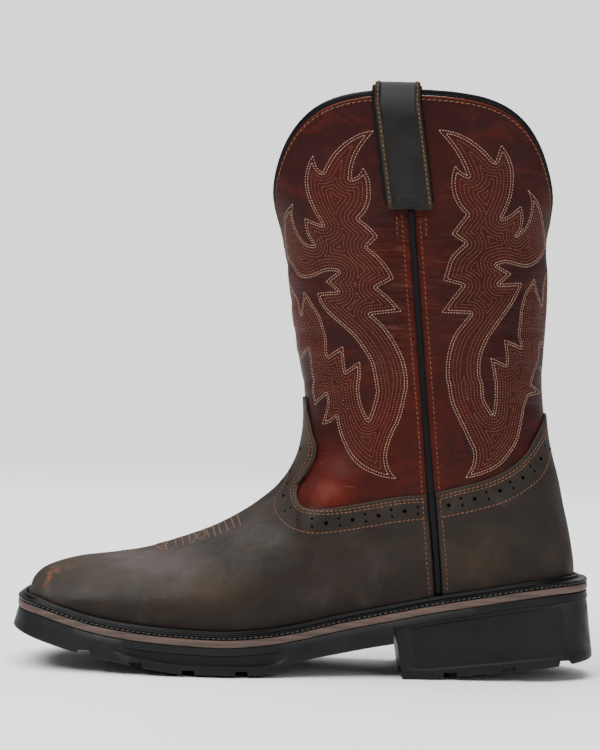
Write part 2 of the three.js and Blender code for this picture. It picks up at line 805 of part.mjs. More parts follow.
function sidePoint(x, z, side, out) {
  const base = new THREE.Vector3(x, ridgeY(x, z) + side * halfWidth(x, z, side), z);
  return base.addScaledVector(sideNormal(x, z, side), out);
}

function buildPiping(side) {
  const steps = 26;
  const from = 0.012;
  const to = 0.755;
  const seat = gap + 0.25;
  const sections = [...Array(steps + 1).keys()].map((i) => {
    const [x, z] = seamPoint(lerp(from, to, i / steps));
    const half = piping_width / 2;
    const at = (across, out) => sidePoint(x + across, z, side, seat + out).toArray();
    return [
      at(-half, 0), at(-half, piping_height * 0.45), at(-half * 0.5, piping_height * 0.9),
      at(half * 0.5, piping_height * 0.9), at(half, piping_height * 0.45), at(half, 0),
    ];
  });
  return sweep(sections, false);
}

// Pull strap: down the outside, over the collar and down the inside
function buildStrap(side) {
  const peakX = xAt(0.371);
  const degrees = 90;
  const top = collarHeight(degrees) + gap + binding_height;
  const outside = (drop, across) => {
    const z = collarPeak - drop;
    const x = peakX + strap_lean * (drop / strap_drop) + across;
    return { x, z };
  };
  const path = [];
  const down = 7;
  for (let i = 0; i <= down; i += 1) {
    path.push({ kind: 'out', drop: lerp(strap_drop, 4, i / down) });
  }
  for (let i = 1; i < 6; i += 1) path.push({ kind: 'over', turn: i / 6 });
  for (let i = 0; i <= 5; i += 1) {
    path.push({ kind: 'in', drop: lerp(4, strap_inside_drop, i / 5) });
  }
  const columns = [-0.5, -0.25, 0, 0.25, 0.5].map((share) => share * strap_width);
  const clear = gap * 3;
  const spot = (step, across, thick) => {
    if (step.kind === 'out') {
      const { x, z } = outside(step.drop, across);
      return sidePoint(x, z, side, clear + thick);
    }
    if (step.kind === 'in') {
      const { x, z } = outside(step.drop, across);
      return sidePoint(x, z, side, -wall - clear - thick);
    }
    const angle = step.turn * Math.PI;
    const { x, z } = outside(4, across);
    const foot = sidePoint(x, z, side, -wall / 2);
    const reach = wall / 2 + clear + thick;
    const high = top - z + strap_loop + thick;
    const out = sideNormal(x, z, side).setZ(0).normalize();
    const squared = (value) => Math.sign(value) * Math.abs(value) ** strap_squareness;
    return foot.addScaledVector(out, squared(Math.cos(angle)) * reach)
      .add(new THREE.Vector3(0, 0, squared(Math.sin(angle)) * high));
  };
  const sections = path.map((step) => [
    ...columns.map((across) => spot(step, across, 0).toArray()),
    ...columns.map((across) => spot(step, across, strap_thickness).toArray()).reverse(),
  ]);
  return sweep(sections, false);
}

// Materials
const look = (color, roughness) => new THREE.MeshStandardMaterial({ color, roughness, metalness: 0 });
const black_rubber = look(0x24262b, 0.6);
const brown_rubber = look(0x5a4026, 0.7);
const black_welt = look(0x17181d, 0.35);
const dark_leather = look(0x3a2c28, 0.45);
const red_leather = look(0x5a2a20, 0.4);
const tan_leather = look(0x9c7a58, 0.7);
const black_trim = look(0x15161c, 0.45);
const strap_leather = look(0x4a4038, 0.55);

const boot = new THREE.Group();
function add(name, geometry, material) {
  const mesh = new THREE.Mesh(geometry, material);
  mesh.name = name;
  boot.add(mesh);
}

add('outsole', buildOutsole(), black_rubber);
add('heel', buildHeel(), black_rubber);
add('midsole', buildMidsole(), brown_rubber);
add('welt', buildWelt(), black_welt);
add('insole', buildInsole(), tan_leather);
add('upper', buildUpper(), red_leather);
add('vamp', buildOverlay(true), dark_leather);
add('counter', buildOverlay(false), dark_leather);
add('collar_binding', buildBinding(), black_trim);
add('pull_strap_lateral', buildStrap(LATERAL), strap_leather);
add('pull_strap_medial', buildStrap(MEDIAL), strap_leather);
add('side_piping_lateral', buildPiping(LATERAL), black_trim);
add('side_piping_medial', buildPiping(MEDIAL), black_trim);

export default boot;
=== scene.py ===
# Dresses the western work boot: leather, stitching, piping, sole, camera, floor and light.
import math

import bmesh
import bpy
import numpy as np
from mathutils import Matrix, Vector


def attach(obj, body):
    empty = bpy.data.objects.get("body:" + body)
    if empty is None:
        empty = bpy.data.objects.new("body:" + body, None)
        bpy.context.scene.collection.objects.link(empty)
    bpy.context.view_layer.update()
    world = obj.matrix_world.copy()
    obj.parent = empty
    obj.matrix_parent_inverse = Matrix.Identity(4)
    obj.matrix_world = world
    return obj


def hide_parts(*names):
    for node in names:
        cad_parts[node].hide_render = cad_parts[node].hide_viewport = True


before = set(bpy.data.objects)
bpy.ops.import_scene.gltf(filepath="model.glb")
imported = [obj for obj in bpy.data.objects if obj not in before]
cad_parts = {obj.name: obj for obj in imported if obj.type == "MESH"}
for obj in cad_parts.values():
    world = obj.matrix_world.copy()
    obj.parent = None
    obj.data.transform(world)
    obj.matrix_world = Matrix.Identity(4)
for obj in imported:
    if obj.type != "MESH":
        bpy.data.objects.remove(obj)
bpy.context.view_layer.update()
MM = 0.001
LATERAL, MEDIAL = -1, 1
BODY = "root"

# The boot's own sizes in millimetres, as the frame was made
SOLE_LENGTH = 313.6
BALL_WIDTH = 113.0
TOE_ROUND, HEEL_ROUND = 30.0, 42.0
TOE_SQUARE, HEEL_SQUARE = 2.7, 2.2
TOE_FLARE, HEEL_FLARE = 2.4, 3.8
INSTEP_RISE = 32.0
RAND, MIDSOLE, WELT = 3.8, 4.0, 3.2
REACH_TOE, REACH_HEEL = 6.1, 8.5
BEAD_WIDTH, BEAD_HEIGHT = 2.6, 2.2
RECESS, BAND_HEIGHT = 1.2, 4.3
CROWN, BEVEL = 1.7, 8.0
UPPER_HEIGHT, COLLAR_HEIGHT = 274.0, 263.3
WALL, OVERLAY, GAP = 2.4, 1.2, 0.3
SHAFT_WIDTH, ANKLE_WIDTH = 96.0, 77.0
SCALLOP_DEPTH, SCALLOP_ANGLE, SCALLOP_POWER = 77.5, 33.0, 1.75
BREAST_TOP, BREAST_LOW, WAIST_FRONT = 0.348, 0.333, 0.528
HEEL_FLAT, HEEL_PITCH = 13.0, 10.4
SEAM_FOOT = 0.274

# Columns: at (share of length from the heel), lateral, medial, swell, ridge (shares of ball width)
PLAN = np.array([
    (0.00, 0.352, 0.352, 0.030, 0.000),
    (0.14, 0.360, 0.358, 0.032, 0.000),
    (0.30, 0.368, 0.350, 0.045, 0.000),
    (0.42, 0.392, 0.342, 0.060, 0.010),
    (0.53, 0.445, 0.395, 0.045, 0.028),
    (0.64, 0.500, 0.468, 0.022, 0.035),
    (0.72, 0.500, 0.500, 0.018, 0.035),
    (0.82, 0.470, 0.492, 0.014, 0.030),
    (0.92, 0.418, 0.452, 0.010, 0.022),
    (1.00, 0.385, 0.425, 0.008, 0.018),
])
# Columns: at, top of the midsole's edge as a share of the instep rise
SIDE = np.array([
    (0.00, 1.600), (0.07, 1.555), (0.14, 1.462), (0.21, 1.340), (0.28, 1.219), (0.34, 1.095),
    (0.40, 0.975), (0.45, 0.870), (0.51, 0.732), (0.57, 0.638), (0.64, 0.600), (0.72, 0.629),
    (0.80, 0.696), (0.85, 0.770), (0.90, 0.888), (0.95, 1.020), (1.00, 1.100),
])
# Columns: at, underside of forefoot and waist as a share of the instep rise
UNDER = np.array([
    (0.30, 0.610), (0.35, 0.541), (0.44, 0.375), (0.52, 0.195), (0.54, 0.060), (0.59, 0.000),
    (0.69, 0.000), (0.76, 0.075), (0.82, 0.175), (0.88, 0.290), (0.94, 0.440), (1.00, 0.610),
])
# Columns: at, up (share of the upper's height over its foot line)
FRONT = np.array([
    (0.968, 0.021), (0.954, 0.042), (0.930, 0.062), (0.889, 0.088), (0.835, 0.110), (0.781, 0.128),
    (0.717, 0.157), (0.647, 0.192), (0.589, 0.230), (0.545, 0.269), (0.519, 0.314), (0.508, 0.368),
    (0.508, 0.423), (0.516, 0.483), (0.533, 0.585), (0.544, 0.678), (0.557, 0.761), (0.585, 0.845),
    (0.594, 0.919), (0.596, 1.010), (0.596, 1.090),
])
BACK = np.array([
    (0.040, 0.022), (0.044, 0.052), (0.051, 0.093), (0.061, 0.141), (0.070, 0.189), (0.082, 0.239),
    (0.089, 0.276), (0.094, 0.321), (0.099, 0.384), (0.098, 0.431), (0.095, 0.503), (0.094, 0.594),
    (0.098, 0.657), (0.089, 0.703), (0.081, 0.742), (0.078, 0.811), (0.078, 1.090),
])
# Columns: up, share of the way from ankle width to shaft width
GIRTH = np.array([
    (0.00, -0.10), (0.20, -0.05), (0.38, 0.02), (0.55, 0.30), (0.75, 0.72), (0.92, 1.00), (1.10, 1.10),
])
# Columns: at, up, along the foxing's upper edge from tongue to heel point
FOXING = np.array([
    (0.522, 0.440), (0.508, 0.436), (0.500, 0.397), (0.491, 0.354), (0.486, 0.336), (0.489, 0.310),
    (0.502, 0.282), (0.513, 0.262), (0.516, 0.245), (0.508, 0.226), (0.490, 0.215), (0.442, 0.210),
    (0.391, 0.210), (0.345, 0.209), (0.301, 0.204), (0.247, 0.208), (0.200, 0.214), (0.159, 0.229),
    (0.134, 0.249), (0.115, 0.280), (0.095, 0.323), (0.086, 0.372), (0.070, 0.378),
])
# Columns: up, at, down the side seam
SEAM = np.array([
    (0.000, 0.274), (0.091, 0.282), (0.203, 0.293), (0.310, 0.303), (0.547, 0.323), (0.800, 0.345),
])


def smooth(rows, column):
    """Smooth curve through one column of a table, level at its own peaks."""
    xs, ys = rows[:, 0], rows[:, column]
    slopes = np.diff(ys) / np.diff(xs)
    tangents = np.zeros(len(xs))
    tangents[0], tangents[-1] = slopes[0], slopes[-1]
    for i in range(1, len(xs) - 1):
        before, after = slopes[i - 1], slopes[i]
        tangents[i] = 0 if before * after <= 0 else 2 * before * after / (before + after)

    def value(x):
        x = np.asarray(x, float)
        i = np.clip(np.searchsorted(xs, x, side="left") - 1, 0, len(xs) - 2)
        span = xs[i + 1] - xs[i]
        t = np.clip((x - xs[i]) / span, 0, 1)
        rise = ys[i] * (1 + 2 * t) * (1 - t) ** 2 + ys[i + 1] * t * t * (3 - 2 * t)
        return rise + span * (tangents[i] * t * (1 - t) ** 2 - tangents[i + 1] * t * t * (1 - t))

    return value


def ease(value, low, high):
    t = np.clip((value - low) / (high - low), 0, 1)
    return t * t * (3 - 2 * t)


def mix(a, b, t):
    return a + (b - a) * t


def unit(vectors):
    return vectors / np.linalg.norm(vectors, axis=-1, keepdims=True)


def run_along(points):
    """Distance from the first point to each point of a line."""
    return np.concatenate([[0], np.cumsum(np.linalg.norm(np.diff(points, axis=0), axis=1))])


lateral_share, medial_share = smooth(PLAN, 1), smooth(PLAN, 2)
swell_share, ridge_share = smooth(PLAN, 3), smooth(PLAN, 4)
top_share, under_share = smooth(SIDE, 1), smooth(UNDER, 1)
girth_share, seam_share = smooth(GIRTH, 1), smooth(SEAM, 1)


def x_at(at):
    return (0.5 - at) * SOLE_LENGTH


def at_x(x):
    return 0.5 - x / SOLE_LENGTH


def midsole_top(x):
    return top_share(at_x(x)) * INSTEP_RISE


def midsole_low(x):
    return midsole_top(x) - MIDSOLE


def rand_low(x):
    return midsole_low(x) - GAP - RAND


def welt_low(x):
    return midsole_top(x) + GAP


def foot_line(x):
    return welt_low(x) + WELT + GAP


def round_end(distance, length, square):
    left = np.clip(1 - distance / length, 0, 1)
    return (1 - left ** square) ** (1 / square)


# A layer's inset from the widest outline: heel value, toe value
TREAD = (0.0, 0.0)
LAYERS = (HEEL_FLARE, TOE_FLARE)
FOOT = (HEEL_FLARE + REACH_HEEL, TOE_FLARE + REACH_TOE)


def further(inset, more):
    return inset[0] + more, inset[1] + more


def inset_at(inset, x):
    return mix(inset[0], inset[1], np.clip(at_x(x), 0, 1))


def heel_end(inset):
    return SOLE_LENGTH / 2 - inset[0]


def toe_end(inset):
    return -SOLE_LENGTH / 2 + inset[1]


def side_width(x, side):
    share = np.where(np.asarray(side) == LATERAL, lateral_share(at_x(x)), medial_share(at_x(x)))
    return share * BALL_WIDTH


def outline_half(x, side, inset):
    toe = round_end(x - toe_end(inset), TOE_ROUND, TOE_SQUARE)
    heel = round_end(heel_end(inset) - x, HEEL_ROUND, HEEL_SQUARE)
    return (side_width(x, side) - inset_at(inset, x)) * toe * heel


def spline_points(points, count):
    """Centripetal curve through the points, count steps in all."""
    points = np.asarray(points, float)
    first = 2 * points[0] - points[1]
    last = 2 * points[-1] - points[-2]
    padded = np.vstack([first, points, last])
    out = []
    pieces = len(points) - 1
    for k in range(count + 1):
        place = k / count * pieces
        i = min(int(place), pieces - 1)
        t = place - i
        p0, p1, p2, p3 = padded[i:i + 4]
        d0 = max(np.linalg.norm(p1 - p0) ** 0.5, 1e-4)
        d1 = max(np.linalg.norm(p2 - p1) ** 0.5, 1e-4)
        d2 = max(np.linalg.norm(p3 - p2) ** 0.5, 1e-4)
        t1 = ((p1 - p0) / d0 - (p2 - p0) / (d0 + d1) + (p2 - p1) / d1) * d1
        t2 = ((p2 - p1) / d1 - (p3 - p1) / (d1 + d2) + (p3 - p2) / d2) * d1
        bend = -3 * p1 + 3 * p2 - 2 * t1 - t2
        twist = 2 * p1 - 2 * p2 + t1 + t2
        out.append(p1 + t1 * t + bend * t ** 2 + twist * t ** 3)
    return np.array(out)


def profile(rows, start):
    xs = x_at(rows[:, 0])
    points = np.column_stack([xs, foot_line(xs) + rows[:, 1] * UPPER_HEIGHT])
    return spline_points(np.vstack([[start, foot_line(start)], points]), 500)


front_line = profile(FRONT, toe_end(FOOT))
back_line = profile(BACK, heel_end(FOOT))


def front_x(z):
    return np.interp(z, front_line[:, 1], front_line[:, 0])


def back_x(z):
    return np.interp(z, back_line[:, 1], back_line[:, 0])


def first_over(line, up):
    over = line[:, 1] - foot_line(line[:, 0]) >= up * UPPER_HEIGHT
    return int(np.argmax(over))


instep_index = first_over(front_line, 0.44)
ankle_index = first_over(back_line, 0.40)
instep, ankle_back = front_line[instep_index], back_line[ankle_index]
throat_x = instep[0] - 1
throat_rows = front_line[:instep_index]
throat_rows = throat_rows[np.maximum.accumulate(throat_rows[:, 0]) <= throat_rows[:, 0] + 1e-9]
SEAT_HEIGHT = float(foot_line(x_at(SEAM_FOOT)))
COLLAR_PEAK = SEAT_HEIGHT + COLLAR_HEIGHT


def ridge_height(x):
    inside = np.interp(x, throat_rows[:, 0], throat_rows[:, 1])
    throat_z = np.interp(throat_x, throat_rows[:, 0], throat_rows[:, 1])
    return np.where(x >= throat_x, throat_z + 9 * (x - throat_x), inside)


def level_of(z):
    return (z - SEAT_HEIGHT) / UPPER_HEIGHT


def rise_of(x, z):
    foot = foot_line(x)
    return np.clip((z - foot) / np.maximum(ridge_height(x) - foot, 1), 0, 1)


def half_width(x, z, side):
    """How far the upper reaches from the middle plane over a point of its side view."""
    foot = foot_line(x)
    level = level_of(z)
    rise = rise_of(x, z)
    climb = ease(z, foot, SEAT_HEIGHT + 0.38 * UPPER_HEIGHT)
    fade = ease(level, 0.20, 0.38)
    swell = swell_share(at_x(x)) * BALL_WIDTH * np.sin(np.pi * np.minimum(rise * 1.15, 1))
    base = side_width(x, side) - inset_at(FOOT, x) + swell
    shaft = mix(ANKLE_WIDTH, SHAFT_WIDTH, girth_share(level)) / 2
    offset = ridge_share(at_x(x)) * BALL_WIDTH * side * (1 - fade)
    full = mix(base, shaft, climb) - offset * ease(rise, 0, 1)
    front, back = front_x(z), back_x(z)
    half = (back - front) / 2
    power = mix(mix(TOE_SQUARE, 2.25, ease(rise, 0, 0.5)), 2.05, fade)
    front_round = mix(mix(TOE_ROUND, half * 0.55, ease(rise, 0, 1)), half, climb)
    ahead = np.clip(1 - (x - front) / front_round, 0, 1) ** 4
    over = (rise * (1 - fade)) ** 4
    edge = ((ahead + over) / (1 + ahead * over)) ** 0.25
    back_round = mix(HEEL_ROUND, half, climb)
    behind = np.clip(1 - (back - x) / back_round, 0, 1)
    back_power = mix(HEEL_SQUARE, 2.05, climb)
    closing = np.maximum(1 - edge ** power, 0) ** (1 / power)
    return full * closing * (1 - behind ** back_power) ** (1 / back_power)


def ridge_y(x, z):
    fade = ease(level_of(z), 0.20, 0.38)
    return ridge_share(at_x(x)) * BALL_WIDTH * (1 - fade) * ease(rise_of(x, z), 0, 1)


def collar_height(degrees):
    def drop(away):
        return np.exp(-((away / SCALLOP_ANGLE) ** SCALLOP_POWER))
    return COLLAR_PEAK - SCALLOP_DEPTH * (drop(degrees) + drop(180 - degrees))


def skin_points(climb, degrees):
    """Points of the upper's outer surface: climb 0 foot line, 1 ankle, 2 collar."""
    climb, degrees = np.broadcast_arrays(np.asarray(climb, float), np.asarray(degrees, float))
    wrapped = degrees % 360
    side = np.where(wrapped <= 180, LATERAL, MEDIAL)
    around = np.where(wrapped <= 180, wrapped, 360 - wrapped)
    share = (1 - np.cos(np.radians(around))) / 2
    low = np.clip(climb, 0, 1)

    def along(line, end):
        spot = low ** 1.15 * end
        steps = np.arange(end + 1)
        return np.interp(spot, steps, line[:end + 1, 0]), np.interp(spot, steps, line[:end + 1, 1])

    fx, fz = along(front_line, instep_index)
    bx, bz = along(back_line, ankle_index)
    ground = mix(front_line[0, 0], back_line[0, 0], share)
    sag = foot_line(ground) - mix(front_line[0, 1], back_line[0, 1], share)
    z_foot = mix(fz, bz, share) + sag * (1 - low) ** 2
    x_foot = mix(fx, bx, share)
    start = mix(instep[1], ankle_back[1], share)
    z_shaft = mix(start, collar_height(around), np.clip(climb - 1, 0, 1))
    x_shaft = mix(front_x(z_shaft), back_x(z_shaft), share)
    x = np.where(climb <= 1, x_foot, x_shaft)
    z = np.where(climb <= 1, z_foot, z_shaft)
    return np.stack([x, ridge_y(x, z) + side * half_width(x, z, side), z], axis=-1)


# Camera, fitted to the photograph: level, rolled a little, a long way off
CAMERA_DISTANCE = 1150.0
CAMERA_HEIGHT = 158.4
CAMERA_X = -5.9
CAMERA_ROLL = math.radians(1.6)
MM_PER_PIXEL = 0.545
PHOTO_SIZE = (600, 750)


def add_camera():
    data = bpy.data.cameras.new("camera")
    data.sensor_width = 36.0
    data.lens = CAMERA_DISTANCE / MM_PER_PIXEL * data.sensor_width / PHOTO_SIZE[1]
    data.clip_end = 10
    camera = bpy.data.objects.new("camera", data)
    c, s = math.cos(CAMERA_ROLL), math.sin(CAMERA_ROLL)
    turn = Matrix(((c, -s, 0), (0, 0, -1), (s, c, 0)))
    camera.matrix_world = Matrix.Translation(
        Vector((CAMERA_X, -CAMERA_DISTANCE, CAMERA_HEIGHT)) * MM) @ turn.to_4x4()
    bpy.context.scene.collection.objects.link(camera)
    bpy.context.scene.camera = camera


def side_view(px, py, side=LATERAL):
    """Side-view place on the upper's skin that shows at a pixel of the photograph."""
    px, py = np.asarray(px, float), np.asarray(py, float)
    near = np.full(px.shape, 35.0)
    c, s = math.cos(CAMERA_ROLL), math.sin(CAMERA_ROLL)
    for _ in range(4):
        scale = MM_PER_PIXEL * (CAMERA_DISTANCE - near) / CAMERA_DISTANCE
        right = (px - PHOTO_SIZE[0] / 2) * scale
        up = (PHOTO_SIZE[1] / 2 - py) * scale
        x = right * c - up * s + CAMERA_X
        z = right * s + up * c + CAMERA_HEIGHT
        near = half_width(x, z, LATERAL) - ridge_y(x, z)
    return x, z


# Mesh helpers; every list of points is in millimetres
def new_object(name, points, faces, material, smooth_shade=True):
    mesh = bpy.data.meshes.new(name)
    mesh.from_pydata((np.asarray(points) * MM).tolist(), [], faces)
    mesh.update()
    if smooth_shade:
        mesh.shade_smooth()
    piece = bpy.data.objects.new(name, mesh)
    bpy.context.scene.collection.objects.link(piece)
    if material:
        mesh.materials.append(material)
    return piece


def quads(rows, columns, close_rows, close_columns, offset=0):
    row_count = rows if close_rows else rows - 1
    column_count = columns if close_columns else columns - 1
    r, c = np.meshgrid(np.arange(row_count), np.arange(column_count), indexing="ij")
    r2, c2 = (r + 1) % rows, (c + 1) % columns
    block = np.stack([r * columns + c, r * columns + c2, r2 * columns + c2, r2 * columns + c], axis=-1)
    return (block.reshape(-1, 4) + offset).tolist()


def face_out(piece):
    work = bmesh.new()
    work.from_mesh(piece.data)
    bmesh.ops.recalc_face_normals(work, faces=work.faces)
    work.to_mesh(piece.data)
    work.free()
    return piece


def loop_solid(name, sections, material):
    """Solid whose closed sections run round the boot: sections[place, corner, xyz]."""
    rows, columns = sections.shape[:2]
    piece = new_object(name, sections.reshape(-1, 3), quads(rows, columns, True, True), material)
    return face_out(piece)


def bar_solid(name, sections, material):
    """Solid whose closed sections run from one end to the other."""
    rows, columns = sections.shape[:2]
    faces = quads(rows, columns, False, True)
    faces.append(list(range(columns)))
    faces.append([(rows - 1) * columns + i for i in reversed(range(columns))])
    return face_out(new_object(name, sections.reshape(-1, 3), faces, material))


def attribute(piece, name, values):
    layer = piece.data.attributes.new(name, "FLOAT", "POINT")
    layer.data.foreach_set("value", np.asarray(values, dtype=np.float32))


# Places on the upper's skin
def foot_share(low, x):
    spot = np.clip(low, 0, 1) ** 1.15
    fx = np.interp(spot * instep_index, np.arange(instep_index + 1), front_line[:instep_index + 1, 0])
    bx = np.interp(spot * ankle_index, np.arange(ankle_index + 1), back_line[:ankle_index + 1, 0])
    return np.clip((x - fx) / (bx - fx), 0, 1)


def place_of(x, z):
    """Climb and degrees (0 to 180) of a side-view point on the upper."""
    x, z = np.broadcast_arrays(np.asarray(x, float), np.asarray(z, float))
    shaft_share = np.clip((x - front_x(z)) / (back_x(z) - front_x(z)), 0, 1)
    low, high = np.zeros(x.shape), np.full(x.shape, 2.0)
    for _ in range(36):
        middle = (low + high) / 2
        share = np.where(middle <= 1, foot_share(middle, x), shaft_share)
        degrees = np.degrees(np.arccos(1 - 2 * share))
        over = skin_points(middle, degrees)[..., 2] > z
        high = np.where(over, middle, high)
        low = np.where(over, low, middle)
    climb = (low + high) / 2
    share = np.where(climb <= 1, foot_share(climb, x), shaft_share)
    return climb, np.degrees(np.arccos(1 - 2 * share))


def skin_frame(climb, degrees):
    """Point and outward normal of the smooth skin."""
    climb, degrees = np.broadcast_arrays(np.asarray(climb, float), np.asarray(degrees, float))
    point = skin_points(climb, degrees)
    step = 0.006
    above, below = np.minimum(climb + step, 2), np.maximum(climb - step, 0)
    up = skin_points(above, degrees) - skin_points(below, degrees)
    along = skin_points(climb, degrees + 0.7) - skin_points(climb, degrees - 0.7)
    normal = np.cross(along, up)
    length = np.linalg.norm(normal, axis=-1, keepdims=True)
    normal = normal / np.maximum(length, 1e-9)
    middle = np.stack([point[..., 0], ridge_y(point[..., 0], point[..., 2]), point[..., 2]], axis=-1)
    outward = np.sign(np.sum((point - middle) * normal, axis=-1, keepdims=True))
    flip = np.sign(np.nanmean(outward)) if outward.size > 1 else outward
    return point, normal * np.where(flip == 0, 1, flip)


# Soft creases in side-view millimetres: start, end, width, depth (troughs below zero)
CREASES = [
    (30, 238, 45, 235, 1.6, -0.77), (25, 231, 47, 229, 2.0, -0.85), (28, 227, 46, 226, 1.6, 0.51),
    (31, 219, 50, 222, 2.0, -0.77), (35, 215, 49, 216, 1.6, 0.42), (8, 227, 30, 224, 3.0, -0.68),
    (37, 199, 52, 202, 1.8, -0.59), (42, 190, 53, 192, 1.6, -0.51), (44, 179, 55, 181, 1.8, -0.42),
    (59, 235, 74, 240, 1.8, -0.77), (62, 228, 82, 232, 2.0, -0.77), (61, 220, 77, 219, 1.8, -0.59),
    (63, 208, 73, 211, 1.6, -0.51), (65, 200, 82, 198, 1.8, -0.59), (65, 183, 78, 184, 1.6, -0.51),
    (66, 173, 76, 173, 1.6, -0.42), (89, 201, 119, 207, 3.0, -0.94), (91, 180, 122, 184, 2.6, -0.85),
    (99, 166, 123, 164, 3.0, -0.85), (97, 185, 120, 194, 2.2, 0.51), (102, 148, 121, 144, 3.0, -0.68),
    (-15, 218, 8, 215, 3.4, -0.94), (-12, 198, 8, 204, 3.0, -0.85), (-10, 182, 13, 177, 3.0, -0.77),
    (-8, 173, 10, 171, 2.4, 0.51), (-5, 154, 20, 161, 3.4, -0.77), (1, 113, 21, 123, 4.0, -0.85),
    (-1, 98, 18, 93, 5.0, 0.85), (7, 109, 34, 101, 4.0, 0.59), (-9, 271, 23, 264, 7.0, -1.2),
    (80, 279, 112, 259, 7.0, -1), (7, 246, 34, 252, 5.0, 0.68), (65, 255, 97, 246, 6.0, 0.68),
    (-58, 60, -22, 33, 8.0, -0.85), (-36, 71, 7, 42, 9.0, 0.77), (-13, 76, 35, 59, 7.0, -0.77),
    (8, 68, 49, 73, 7.0, 0.59), (-27, 82, -9, 71, 4.0, -0.59), (-92, 45, -55, 43, 9.0, 0.51),
    (76, 74, 113, 64, 8.0, -0.68), (85, 90, 123, 80, 7.0, 0.59),
]


def crease_depth(x, z):
    depth = np.zeros(np.shape(x))
    for x0, z0, x1, z1, width, deep in CREASES:
        run = np.array([x1 - x0, z1 - z0])
        length = np.hypot(*run)
        along = ((x - x0) * run[0] + (z - z0) * run[1]) / length
        across = ((x - x0) * run[1] - (z - z0) * run[0]) / length
        inside = np.exp(-(np.clip(np.abs(along - length / 2) - length / 2, 0, None) / width) ** 2)
        fade = ease(along, -width, length * 0.3) * (1 - ease(along, length * 0.7, length + width))
        depth = depth + deep * inside * (0.35 + 0.65 * fade) * np.exp(-(across / width) ** 2)
    return depth


def surface(climb, degrees, out=0.0):
    """Point on the creased leather, raised by out."""
    point, normal = skin_frame(climb, degrees)
    lift = crease_depth(point[..., 0], point[..., 2]) + out
    return point + normal * np.asarray(lift)[..., None]


def signed_degrees(degrees, side):
    return degrees if side == LATERAL else 360 - degrees


# Leather of the shaft and foot: one hollow wall
SHAFT_TURNS, SHAFT_TOP = 260, 1.995


def build_shaft(material):
    degrees = np.arange(SHAFT_TURNS) * 360 / SHAFT_TURNS
    climbs = np.concatenate([
        np.linspace(0, 0.45, 24)[:-1], np.linspace(0.45, 1, 46)[:-1], np.linspace(1, SHAFT_TOP, 124),
    ])
    inner_climbs = np.concatenate([np.linspace(SHAFT_TOP, 1, 44)[:-1], np.linspace(1, 0, 40)])
    c, d = np.meshgrid(climbs, degrees)
    outer = surface(c, d)
    top, normal = skin_frame(np.full(SHAFT_TURNS, 2.0), degrees)
    rim = np.stack([
        top + normal * -0.12, top + normal * -0.5,
        top + normal * (0.5 - WALL), top + normal * (0.12 - WALL),
    ], axis=1)
    rim[:, 1:3, 2] += 0.25
    c, d = np.meshgrid(inner_climbs, degrees)
    inner_point, inner_normal = skin_frame(c, d)
    creases = crease_depth(inner_point[..., 0], inner_point[..., 2])
    inner = inner_point + inner_normal * (creases - WALL)[..., None]
    sections = np.concatenate([outer, rim, inner], axis=1)
    piece = loop_solid("shaft_leather", sections, material)
    rows = sections.shape[1]
    place = np.arange(rows)
    inside = (place >= outer.shape[1] + 2).astype(float)
    edge = ((place >= outer.shape[1]) & (place < outer.shape[1] + 4)).astype(float)
    attribute(piece, "inside", np.tile(inside, SHAFT_TURNS))
    attribute(piece, "cut_edge", np.tile(edge, SHAFT_TURNS))
    return piece, np.repeat(degrees, rows)


# Foxing: the upper edge in side view, tongue to back point
foxing_rows = np.column_stack([
    x_at(FOXING[:, 0]), foot_line(x_at(FOXING[:, 0])) + FOXING[:, 1] * UPPER_HEIGHT])
foxing_line = spline_points(foxing_rows, 400)
SEAM_CROSSING = 0.203
PIPING_WIDTH = 3.2
SEAM_CLEARANCE = PIPING_WIDTH / 2 + GAP * 2


def seam_point(up):
    x = x_at(seam_share(up))
    return x, foot_line(x) + np.asarray(up) * UPPER_HEIGHT


def foxing_half(front, count):
    """Edge and foot places (climb, degrees) from the ridge to the side seam."""
    crossing = seam_point(SEAM_CROSSING)[0]
    away = SEAM_CLEARANCE * (-1 if front else 1)
    x, z = foxing_line[:, 0], foxing_line[:, 1]
    on_boot = (x > front_x(z)) & (x < back_x(z)) if front else (x < back_x(z))
    beside = x < crossing + away if front else x > crossing + away
    kept = foxing_line[beside & on_boot]
    if not front:
        kept = kept[::-1]
    climb, degrees = place_of(kept[:, 0], kept[:, 1])
    ridge = 0 if front else 180
    edge_climb = np.concatenate([[climb[0]], climb])
    edge_degrees = np.concatenate([[ridge], degrees])
    steps = run_along(skin_points(edge_climb, edge_degrees))
    wanted = np.linspace(0, steps[-1], count)
    edge_climb = np.interp(wanted, steps, edge_climb)
    edge_degrees = np.interp(wanted, steps, edge_degrees)
    seam_x, seam_z = seam_point(0.0)
    foot_degrees = float(place_of(seam_x + away, seam_z + 0.3)[1])
    foot = np.linspace(ridge, foot_degrees, 400)
    run = run_along(skin_points(np.zeros(400), foot))
    foot = np.interp(np.linspace(0, run[-1], count), run, foot)
    return edge_climb, edge_degrees, foot


def seam_bend(c, climb, foot, degree, front):
    """How far the columns near the side seam bow, so that the last one follows the seam."""
    ups = np.linspace(0.0, SEAM_CROSSING + 0.03, 60)
    away = SEAM_CLEARANCE * (-1 if front else 1)
    x, z = seam_point(ups)
    seam_climb, seam_degrees = place_of(x + away, z + 0.02)
    order = np.argsort(seam_climb)
    middle = len(climb) // 2
    ends = np.abs(np.arange(len(climb)) - middle) / middle
    ridge = 0 if front else 180
    straight = mix(abs(foot[-1] - ridge), abs(degree[-1] - ridge), c / climb[-1])
    straight = ridge + straight if front else ridge - straight
    bend = np.interp(c, seam_climb[order], seam_degrees[order]) - straight
    sign = np.where(np.arange(len(climb)) < middle, -1, 1) * (1 if front else -1)
    return bend * (ends ** 3)[:, None] * sign[:, None]


